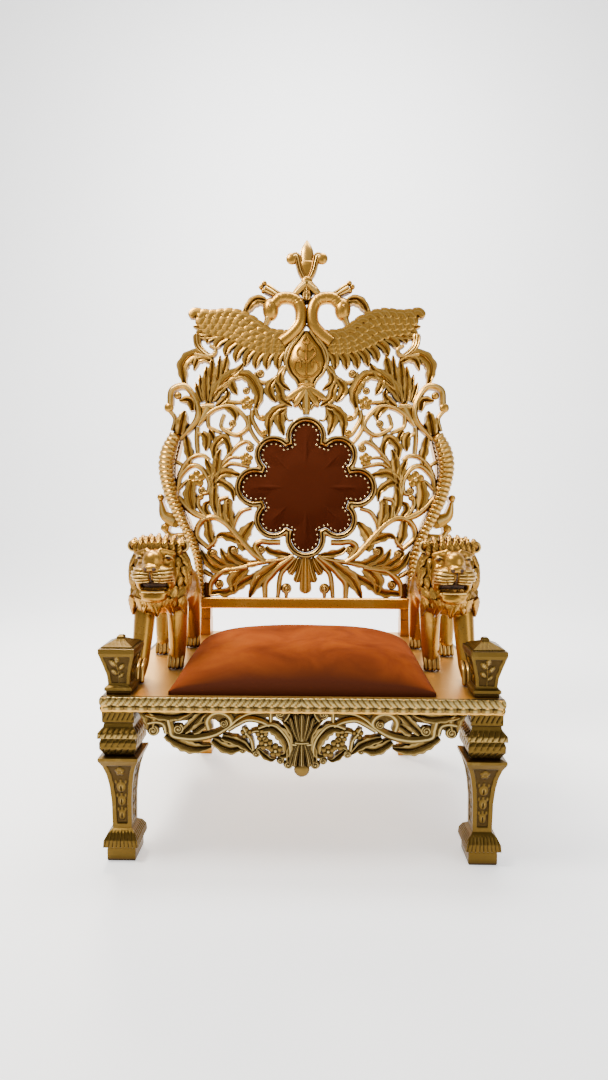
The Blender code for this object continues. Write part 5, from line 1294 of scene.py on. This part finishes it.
def add_mane(carving):
    """Rows of locks round the neck, a crown of curls, and a bib of pointed locks."""
    for row, rise_degrees in enumerate((64, 46, 30, 14, -2, -18, -34)):
        rise = math.radians(rise_degrees)
        count = max(8, round(2 * math.pi * 69.0 * math.cos(rise) / (LOCK_WIDTH * 0.84)))
        for lock in range(count):
            turn = 2 * math.pi * (lock + 0.5 * (row % 2)) / count - math.pi
            root = mane_point(turn, rise, 1.0)
            if abs(root[0]) < 50 and root[1] < -96 and root[2] > 236:
                continue
            slant = 0.20 if (lock + row) % 2 else -0.08
            tip = mane_point(turn + slant, rise - LOCK_LENGTH / MANE_REACH[2], 4.0)
            add_lock(carving, root, tip, (root - MANE_MIDDLE) / MANE_REACH ** 2, LOCK_WIDTH, LOCK_RISE)
    for lock in range(8):
        x = -63.0 + 18.0 * lock
        low = 372.0 - 0.003 * x * x
        add_lock(carving, (x * 0.90, -148 + 0.008 * x * x, low), (x * 1.10, -128 + 0.005 * x * x, low + 42),
                 (0.0, -0.9, 0.35), 27.0, 10.0, 0.40)
    for lock in range(7):
        x = -66.0 + 22.0 * lock
        tip = (x * 1.1, -92, 417 - 0.003 * x * x)
        add_lock(carving, (x, -118, 384), tip, (0.0, -0.6, 0.8), 29.0, 10.0, 0.45)
    for top, tip_z, count, width in ((266, 206, 7, 34.0), (234, 174, 8, 33.0)):
        for lock in range(count):
            x = 82.0 * ((lock + 0.5) / count * 2 - 1)
            lean = 8.0 if lock % 2 else -8.0
            add_lock(carving, bib_point(x, top, 3.0), bib_point(x + lean, tip_z, 2.0),
                     (x / 110.0, -0.86, 0.0), width, 9.0)


def add_face(carving):
    """Whisker folds, brows, lids, ear rings and toes."""
    for side in (-1, 1):
        for fold in range(5):
            line = []
            for step in range(13):
                x = 9.0 + 49.0 * step / 12
                z = 288.0 + 8.4 * fold + 3.0 * (fold - 2) * step / 12 * 0.35
                out_x = ((x - WHISKER_PAD[0]) / WHISKER_REACH[0]) ** 2
                out_z = ((z - WHISKER_PAD[2]) / WHISKER_REACH[2]) ** 2
                y = WHISKER_PAD[1] - WHISKER_REACH[1] * math.sqrt(max(0.0, 1 - out_x - out_z)) - 0.6
                line.append((side * x, y, z))
            add_cord(carving, line, 3.1, 0.95)
        lid = [(side * 30, -163, 353), (side * 38, -165, 358), (side * 46, -161, 357), (side * 53, -153, 350)]
        add_cord(carving, smooth_path(lid, 4), 2.2, 1.0, 8)
        turns = 2 * np.pi * np.arange(17)[:-1] / 16
        ring = [(side * 75 + 12.5 * math.cos(turn), -108, 382 + 14.0 * math.sin(turn)) for turn in turns]
        add_cord(carving, ring, 4.6, 0.95, 8, True)
    add_cord(carving, [(-33, -176, 257), (-12, -180, 256), (12, -180, 256), (33, -176, 257)], 4.0, 1.0)
    for _, ankle, paw in LION_PAWS:
        for toe in range(4):
            x = paw[0] - 18.0 + toe * 12.0
            reach = 4.0 * (toe in (1, 2))
            line = [(x, ankle[1] - 14, 60), (x, paw[1] - 14 - reach, 46), (x, paw[1] - 24 - reach, 26),
                    (x, paw[1] - 28 - reach, 9.5)]
            add_cord(carving, smooth_path(line, 4), np.linspace(4.6, 8.0, 13), 0.9)
            carving.ball((x, paw[1] - 28 - reach, 8.5), (7.2, 9.0, 8.5), 10, 8, 0.9)


def hollow_shade_look():
    """Painted shade: a dark look for pieces set in the nostrils, pupils and the open mouth."""
    look = bpy.data.materials.new("painted_hollow_shade")
    look.use_nodes = True
    tree = look.node_tree
    place = tree.nodes.new("ShaderNodeTexCoord").outputs["Object"]
    hollow_shade_noise = add_node(tree, "ShaderNodeTexNoise", Scale=120.0, Detail=3.0)
    tree.links.new(place, hollow_shade_noise.inputs["Vector"])
    stops = [(0.3, (0.020, 0.008, 0.002)), (0.7, (0.085, 0.032, 0.006))]
    tone = colour_ramp(tree, hollow_shade_noise.outputs["Fac"], stops)
    tree.links.new(tone.outputs["Color"], tree.nodes["Principled BSDF"].inputs["Base Color"])
    tree.nodes["Principled BSDF"].inputs["Roughness"].default_value = 0.7
    return look


def make_lions(front_y, look, dark):
    """The standing lions on the sides of the seat, the right one a mirror of the left."""
    points, faces = lion_skin()
    for side, word in ((-1, "left"), (1, "right")):
        place = Matrix.Translation((side * LION_X, front_y + LION_FROM_FRONT, SEAT_HEIGHT + FIT))
        place = place @ Matrix.Diagonal((-side * LION_SCALE, LION_SCALE, LION_SCALE, 1.0))
        carving = Carving()
        carving.add(points, 0.70, faces)
        add_mane(carving)
        add_face(carving)
        lion = carving.piece("lion_" + word + "_carving", place, look, 50.0)
        if side > 0:
            lion.data.flip_normals()
        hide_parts("lion_" + word)
        # Painted shade: dark pieces in the nostrils, the pupils and the open mouth, and a dark line down from
        # the nose.
        hollows = Carving()
        for half in (-1, 1):
            hollows.ball((half * 12.0, -207.0, 325), (6.0, 5.5, 5.6), 12, 8, 0.0)
            hollows.ball((half * 42.5, -161.5, 352), (6.5, 4.0, 3.8), 12, 8, 0.0)
        hollows.ball((0.0, -138.0, 274.5), (44.0, 27.0, 14.5), 24, 12, 0.0)
        add_cord(hollows, [(0, -207, 318), (0, -205, 308), (0, -199, 296), (0, -192, 288)], 1.9, 0.0, 8)
        inner = hollows.piece("lion_" + word + "_hollows", place, dark, 60.0)
        if side > 0:
            inner.data.flip_normals()


def make_cushion(front_y, look):
    """The seat cushion: a crowned pad, straight in front and round at the back corners."""
    low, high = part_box("seat_cushion")
    columns = 72
    rows = 60
    half = (high.x - low.x) / 2
    deep = high.y - low.y
    tall = high.z - low.z
    across = np.linspace(-1.0, 1.0, columns)
    down = np.linspace(0.0, 1.0, rows)
    u, v = np.meshgrid(across, down)
    corner = np.clip((v - 0.72) / 0.28, 0, 1)
    narrow = 1.0 - 0.30 * (1.0 - np.sqrt(np.clip(1.0 - corner ** 2.2, 0, 1)))
    x = half * u * narrow
    y = low.y + deep * v
    side = 1.0 - np.abs(u) ** 2.8
    front = np.clip(v / 0.42, 0, 1)
    back = np.clip((1.0 - v) / 0.26, 0, 1)
    crown = side ** 0.50 * np.sin(np.pi / 2 * front) ** 0.60 * np.sin(np.pi / 2 * back) ** 0.55
    nap = 0.0012 * np.sin(9.0 * u + 3.0 * v) * np.sin(7.0 * v + 1.0) * crown
    z = low.z + 0.010 + (tall - 0.012) * crown + nap
    points = np.stack([x, y, z], axis=2)
    under = points.copy()
    under[:, :, 2] = low.z
    carving = Carving()
    faces = []
    size = rows * columns
    for row in range(rows - 1):
        for column in range(columns - 1):
            at = row * columns + column
            faces.append((at, at + 1, at + columns + 1, at + columns))
            faces.append((size + at, size + at + columns, size + at + columns + 1, size + at + 1))
    loop = [(0, column) for column in range(columns)] + [(row, columns - 1) for row in range(1, rows)]
    loop += [(rows - 1, column) for column in range(columns - 2, -1, -1)]
    loop += [(row, 0) for row in range(rows - 2, 0, -1)]
    for (row_a, column_a), (row_b, column_b) in zip(loop, loop[1:] + loop[:1]):
        first = row_a * columns + column_a
        second = row_b * columns + column_b
        faces.append((first, second, size + second, size + first))
    carving.add(np.concatenate([points.reshape(-1, 3), under.reshape(-1, 3)]), 0.5, faces)
    cushion = carving.piece("seat_cushion_cover", Matrix.Identity(4), look, 70.0)
    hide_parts("seat_cushion")


def set_values(node, **values):
    """Set a node's settings and its input values, with an underscore for a blank."""
    for key, value in values.items():
        if hasattr(node, key):
            setattr(node, key, value)
        else:
            node.inputs[key.replace("_", " ")].default_value = value


def add_node(tree, kind, **values):
    """A shader node with its settings and input values."""
    node = tree.nodes.new(kind)
    set_values(node, **values)
    return node


def colour_ramp(tree, source, stops):
    """A colour ramp fed by a value."""
    ramp = tree.nodes.new("ShaderNodeValToRGB")
    while len(ramp.color_ramp.elements) < len(stops):
        ramp.color_ramp.elements.new(0.5)
    for element, (place, colour) in zip(ramp.color_ramp.elements, stops):
        element.position = place
        element.color = (*colour, 1.0)
    tree.links.new(source, ramp.inputs[0])
    return ramp


def mixed(tree, kind, factor, first, second):
    """Two colours mixed by a factor."""
    mix = tree.nodes.new("ShaderNodeMix")
    mix.data_type = "RGBA"
    mix.blend_type = kind
    if isinstance(factor, float):
        mix.inputs[0].default_value = factor
    else:
        tree.links.new(factor, mix.inputs[0])
    tree.links.new(first, mix.inputs[6])
    tree.links.new(second, mix.inputs[7])
    return mix.outputs[2]


# Side of a sheet of gold leaf
LEAF_SHEET = 0.085
# Leaf and brass: colours of the painted shade in the recesses, of the faces, and of the brighter leaf in
# random patches and the painted highlights on the ridges, then roughness, carved or plain
LEAVES = {
    "gilt_leaf": ((0.070, 0.020, 0.0025), (0.47, 0.235, 0.036), (0.88, 0.60, 0.20), 0.27, True),
    # Darker copies of the leaf for the rim and apron, the legs, and the side and back boards: painted shade
    "shaded_leaf": ((0.022, 0.010, 0.002), (0.165, 0.098, 0.022), (0.52, 0.39, 0.15), 0.32, True),
    "leg_shaded_leaf": ((0.016, 0.007, 0.0012), (0.110, 0.062, 0.010), (0.38, 0.25, 0.075), 0.32, True),
    "shaded_board_leaf": ((0.05, 0.022, 0.005), (0.20, 0.118, 0.030), (0.34, 0.23, 0.08), 0.34, False),
    "smooth_leaf": ((0.16, 0.055, 0.008), (0.52, 0.235, 0.030), (0.70, 0.38, 0.075), 0.27, False),
    # A paler copy of the leaf for the deck: painted light on its lit top
    "lit_deck_leaf": ((0.24, 0.11, 0.022), (0.67, 0.350, 0.064), (0.80, 0.48, 0.12), 0.34, False),
    "brass_nails": ((0.12, 0.05, 0.01), (0.58, 0.38, 0.13), (0.86, 0.66, 0.32), 0.22, True),
}
# Suede: colours of the worn, middle and fresh nap, then the painted shade on faces turned to the front
SUEDES = {
    "rust_suede": ((0.110, 0.017, 0.0012), (0.250, 0.046, 0.0026), (0.350, 0.078, 0.0050),
                   (0.040, 0.0075, 0.0014)),
    "dark_suede": ((0.034, 0.0058, 0.0012), (0.076, 0.0125, 0.0022), (0.115, 0.021, 0.0036),
                   (0.060, 0.0100, 0.0020)),
}
# Plain pieces that keep their solids, with their looks: the deck takes a paler copy of the leaf as painted
# light, the side and back aprons a darker copy as painted shade
PLAIN_PIECES = {
    "seat_deck": "lit_deck_leaf", "back_rail": "smooth_leaf", "back_post_left": "smooth_leaf",
    "back_post_right": "smooth_leaf", "side_apron_left": "shaded_board_leaf",
    "side_apron_right": "shaded_board_leaf", "back_apron": "shaded_board_leaf",
}


def gilt(name, deep, mid, light, roughness, carved):
    """Leaf over carved wood: painted shade in the recesses, painted highlights on the ridges, and small flaws
    in the leaf.
    """
    look = bpy.data.materials.new(name)
    look.use_nodes = True
    tree = look.node_tree
    shader = tree.nodes["Principled BSDF"]
    place = tree.nodes.new("ShaderNodeTexCoord").outputs["Object"]
    patches = add_node(tree, "ShaderNodeTexNoise", Scale=26.0, Detail=5.0, Roughness=0.6)
    grain = add_node(tree, "ShaderNodeTexNoise", Scale=260.0, Detail=4.0, Roughness=0.65)
    for noise in (patches, grain):
        tree.links.new(place, noise.inputs["Vector"])
    leaf = colour_ramp(tree, patches.outputs["Fac"], [(0.34, mid), (0.60, mid), (0.78, light)])
    colour = leaf.outputs["Color"]
    if carved:
        # Painted shade and highlight: the carve marks pull the recesses to the deep colour and the ridge
        # lines to the light one.
        ridge = tree.nodes.new("ShaderNodeAttribute")
        ridge.attribute_name = "carve"
        cuts = colour_ramp(tree, ridge.outputs["Fac"], [(0.05, deep), (0.45, mid), (0.80, mid), (1.0, light)])
        colour = mixed(tree, "MIX", 0.72, colour, cuts.outputs["Color"])
    else:
        sheets = add_node(tree, "ShaderNodeTexBrick", offset=0.0, Scale=1.0, Mortar_Size=0.0008,
                          Brick_Width=LEAF_SHEET, Row_Height=LEAF_SHEET,
                          Color1=(*mid, 1.0), Color2=(*light, 1.0), Mortar=(*light, 1.0))
        tree.links.new(place, sheets.inputs["Vector"])
        colour = mixed(tree, "MIX", 0.25, colour, sheets.outputs["Color"])
    # Painted shade: ambient occlusion mixes the deep colour into the hollows, corners and gaps between parts.
    shade = add_node(tree, "ShaderNodeAmbientOcclusion", Distance=0.028, samples=8)
    hollow = colour_ramp(tree, shade.outputs["AO"], [(0.30, (0.0,) * 3), (0.88, (1.0,) * 3)])
    ao_shade_mix = tree.nodes.new("ShaderNodeMix")
    ao_shade_mix.data_type = "RGBA"
    ao_shade_mix.inputs[6].default_value = (*deep, 1.0)
    tree.links.new(hollow.outputs["Color"], ao_shade_mix.inputs[0])
    tree.links.new(colour, ao_shade_mix.inputs[7])
    colour = ao_shade_mix.outputs[2]
    tree.links.new(colour, shader.inputs["Base Color"])
    rough = add_node(tree, "ShaderNodeMapRange", To_Min=roughness - 0.09, To_Max=roughness + 0.16)
    tree.links.new(grain.outputs["Fac"], rough.inputs["Value"])
    tree.links.new(rough.outputs["Result"], shader.inputs["Roughness"])
    uneven = add_node(tree, "ShaderNodeBump", Strength=0.22, Distance=0.0012)
    tree.links.new(grain.outputs["Fac"], uneven.inputs["Height"])
    tree.links.new(uneven.outputs["Normal"], shader.inputs["Normal"])
    shader.inputs["Metallic"].default_value = 0.92
    return look


def suede(name, deep, mid, light, front_shade_colour):
    """Suede: a short nap with brushed patches, darkened as painted shade where it faces the front."""
    look = bpy.data.materials.new(name)
    look.use_nodes = True
    tree = look.node_tree
    shader = tree.nodes["Principled BSDF"]
    place = tree.nodes.new("ShaderNodeTexCoord").outputs["Object"]
    brushed = add_node(tree, "ShaderNodeTexNoise", Scale=7.0, Detail=4.0, Roughness=0.55, Distortion=0.6)
    nap = add_node(tree, "ShaderNodeTexNoise", Scale=900.0, Detail=3.0, Roughness=0.7)
    for noise in (brushed, nap):
        tree.links.new(place, noise.inputs["Vector"])
    large = colour_ramp(tree, brushed.outputs["Fac"], [(0.30, deep), (0.52, mid), (0.75, light)])
    small = colour_ramp(tree, nap.outputs["Fac"], [(0.30, deep), (0.60, mid), (0.80, light)])
    colour = mixed(tree, "MIX", 0.28, large.outputs["Color"], small.outputs["Color"])
    # Painted shade: faces turned towards the front take the darker colour.
    facing = tree.nodes.new("ShaderNodeSeparateXYZ")
    tree.links.new(tree.nodes.new("ShaderNodeNewGeometry").outputs["Normal"], facing.inputs[0])
    front_shade_mask = add_node(tree, "ShaderNodeMapRange", interpolation_type="SMOOTHSTEP", From_Min=-0.55, From_Max=0.10)
    tree.links.new(facing.outputs["Y"], front_shade_mask.inputs["Value"])
    front_shade_mix = tree.nodes.new("ShaderNodeMix")
    front_shade_mix.data_type = "RGBA"
    front_shade_mix.inputs[6].default_value = (*front_shade_colour, 1.0)
    tree.links.new(front_shade_mask.outputs["Result"], front_shade_mix.inputs[0])
    tree.links.new(colour, front_shade_mix.inputs[7])
    tree.links.new(front_shade_mix.outputs[2], shader.inputs["Base Color"])
    fuzz = add_node(tree, "ShaderNodeBump", Strength=0.30, Distance=0.0006)
    tree.links.new(nap.outputs["Fac"], fuzz.inputs["Height"])
    tree.links.new(fuzz.outputs["Normal"], shader.inputs["Normal"])
    set_values(shader, Roughness=0.95, Specular_IOR_Level=0.08, Sheen_Weight=0.02, Sheen_Roughness=0.45,
               Sheen_Tint=(1.0, 0.55, 0.30, 1.0))
    return look


# Stage: a floor, a bend and a wall, in metres
STAGE_HALF = 14.0
STAGE_FRONT = -6.0
BEND_START = 2.6
BEND_RADIUS = 1.6
BEND_STEPS = 12
WALL_TOP = 9.0
STAGE_GLOW = 0.75
# Lights: name, place, aim, size, energy and colour
MIDDLE = (0.0, 0.0, 0.9)
LIGHTS = [
    ("key", (-1.5, -0.6, 3.4), MIDDLE, 0.9, 150.0, (1.0, 0.97, 0.92)),
    ("fill", (2.4, -2.4, 1.5), MIDDLE, 1.6, 26.0, (0.96, 0.98, 1.0)),
    ("back_light", (-1.3, 1.9, 3.0), MIDDLE, 0.6, 90.0, (1.0, 0.90, 0.74)),
    ("wall_light", (0.0, 0.9, 4.6), (0.0, 4.2, 1.6), 2.5, 420.0, (1.0, 1.0, 1.0)),
]
WORLD_LIGHT = 0.42


def make_stage():
    """A pale floor that turns up into a wall behind the throne."""
    line = [(STAGE_FRONT, 0.0), (BEND_START, 0.0)]
    for step in range(1, BEND_STEPS + 1):
        turn = math.pi / 2 * step / BEND_STEPS
        line.append((BEND_START + BEND_RADIUS * math.sin(turn), BEND_RADIUS - BEND_RADIUS * math.cos(turn)))
    line.append((BEND_START + BEND_RADIUS, WALL_TOP))
    verts = []
    for y, z in line:
        verts += [(-STAGE_HALF, y, z), (STAGE_HALF, y, z)]
    faces = [(2 * row, 2 * row + 1, 2 * row + 3, 2 * row + 2) for row in range(len(line) - 1)]
    mesh = bpy.data.meshes.new("studio_floor")
    mesh.from_pydata(verts, [], faces)
    mesh.shade_smooth()
    floor = bpy.data.objects.new("studio_floor", mesh)
    bpy.context.scene.collection.objects.link(floor)
    look = bpy.data.materials.new("studio_paper")
    look.use_nodes = True
    tree = look.node_tree
    speckle = add_node(tree, "ShaderNodeTexNoise", Scale=3.0, Detail=2.0)
    tone = colour_ramp(tree, speckle.outputs["Fac"], [(0.3, (0.90, 0.90, 0.90)), (0.7, (0.93, 0.93, 0.93))])
    shader = tree.nodes["Principled BSDF"]
    tree.links.new(tone.outputs["Color"], shader.inputs["Base Color"])
    set_values(shader, Roughness=0.9, Emission_Color=(1.0, 1.0, 1.0, 1.0), Emission_Strength=STAGE_GLOW)
    mesh.materials.append(look)


def add_light(name, place, aim, size, energy, colour):
    """A square area light aimed at a point."""
    data = bpy.data.lights.new(name, "AREA")
    data.size = size
    data.energy = energy
    data.color = colour
    light = bpy.data.objects.new(name, data)
    light.location = place
    light.rotation_euler = (Vector(aim) - Vector(place)).to_track_quat("-Z", "Y").to_euler()
    bpy.context.scene.collection.objects.link(light)


def make_lights():
    """Soft studio light, with the key from the upper left."""
    for light in LIGHTS:
        add_light(*light)
    world = bpy.data.worlds.new("studio")
    world.use_nodes = True
    set_values(world.node_tree.nodes["Background"], Color=(1.0, 1.0, 1.0, 1.0), Strength=WORLD_LIGHT)
    bpy.context.scene.world = world


def make_camera(front_y):
    """The camera at the photograph's view."""
    data = bpy.data.cameras.new("view")
    data.lens = CAMERA_LENS
    data.sensor_width = CAMERA_SENSOR
    camera = bpy.data.objects.new("view", data)
    x, y, z = CAMERA_PLACE
    turn = Matrix.Rotation(-CAMERA_YAW, 4, "Z") @ Matrix.Rotation(math.pi / 2 - CAMERA_PITCH, 4, "X")
    place = Matrix.Translation((x, y + front_y, z))
    camera.matrix_world = place @ turn @ Matrix.Rotation(CAMERA_ROLL, 4, "Z")
    bpy.context.scene.collection.objects.link(camera)
    bpy.context.scene.camera = camera


def build():
    """Dress every piece of the throne."""
    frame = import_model()
    cad_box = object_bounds()
    front_y = cad_box[0].y
    leaning = back_frame(front_y)
    looks = {name: gilt(name, *values) for name, values in LEAVES.items()}
    looks.update({name: suede(name, *values) for name, values in SUEDES.items()})
    for node, look in PLAIN_PIECES.items():
        frame["nodes"][node].data.materials.clear()
        frame["nodes"][node].data.materials.append(looks[look])
    make_fret(leaning, looks["gilt_leaf"])
    make_posts_ears(leaning, looks["gilt_leaf"])
    make_horns(leaning, looks["gilt_leaf"])
    make_crest(leaning, looks["gilt_leaf"])
    make_pad(leaning, looks["dark_suede"])
    make_nails(leaning, looks["brass_nails"])
    # The apron, the legs and the rim take the darker copies of the leaf: painted shade
    make_apron(front_y, looks["shaded_leaf"])
    make_square_posts(front_y, looks["leg_shaded_leaf"])
    make_rim(front_y, looks["shaded_leaf"])
    make_cushion(front_y, looks["rust_suede"])
    make_lions(front_y, looks["gilt_leaf"], hollow_shade_look())
    make_stage()
    make_lights()
    make_camera(front_y)
    bpy.context.view_layer.update()


build()
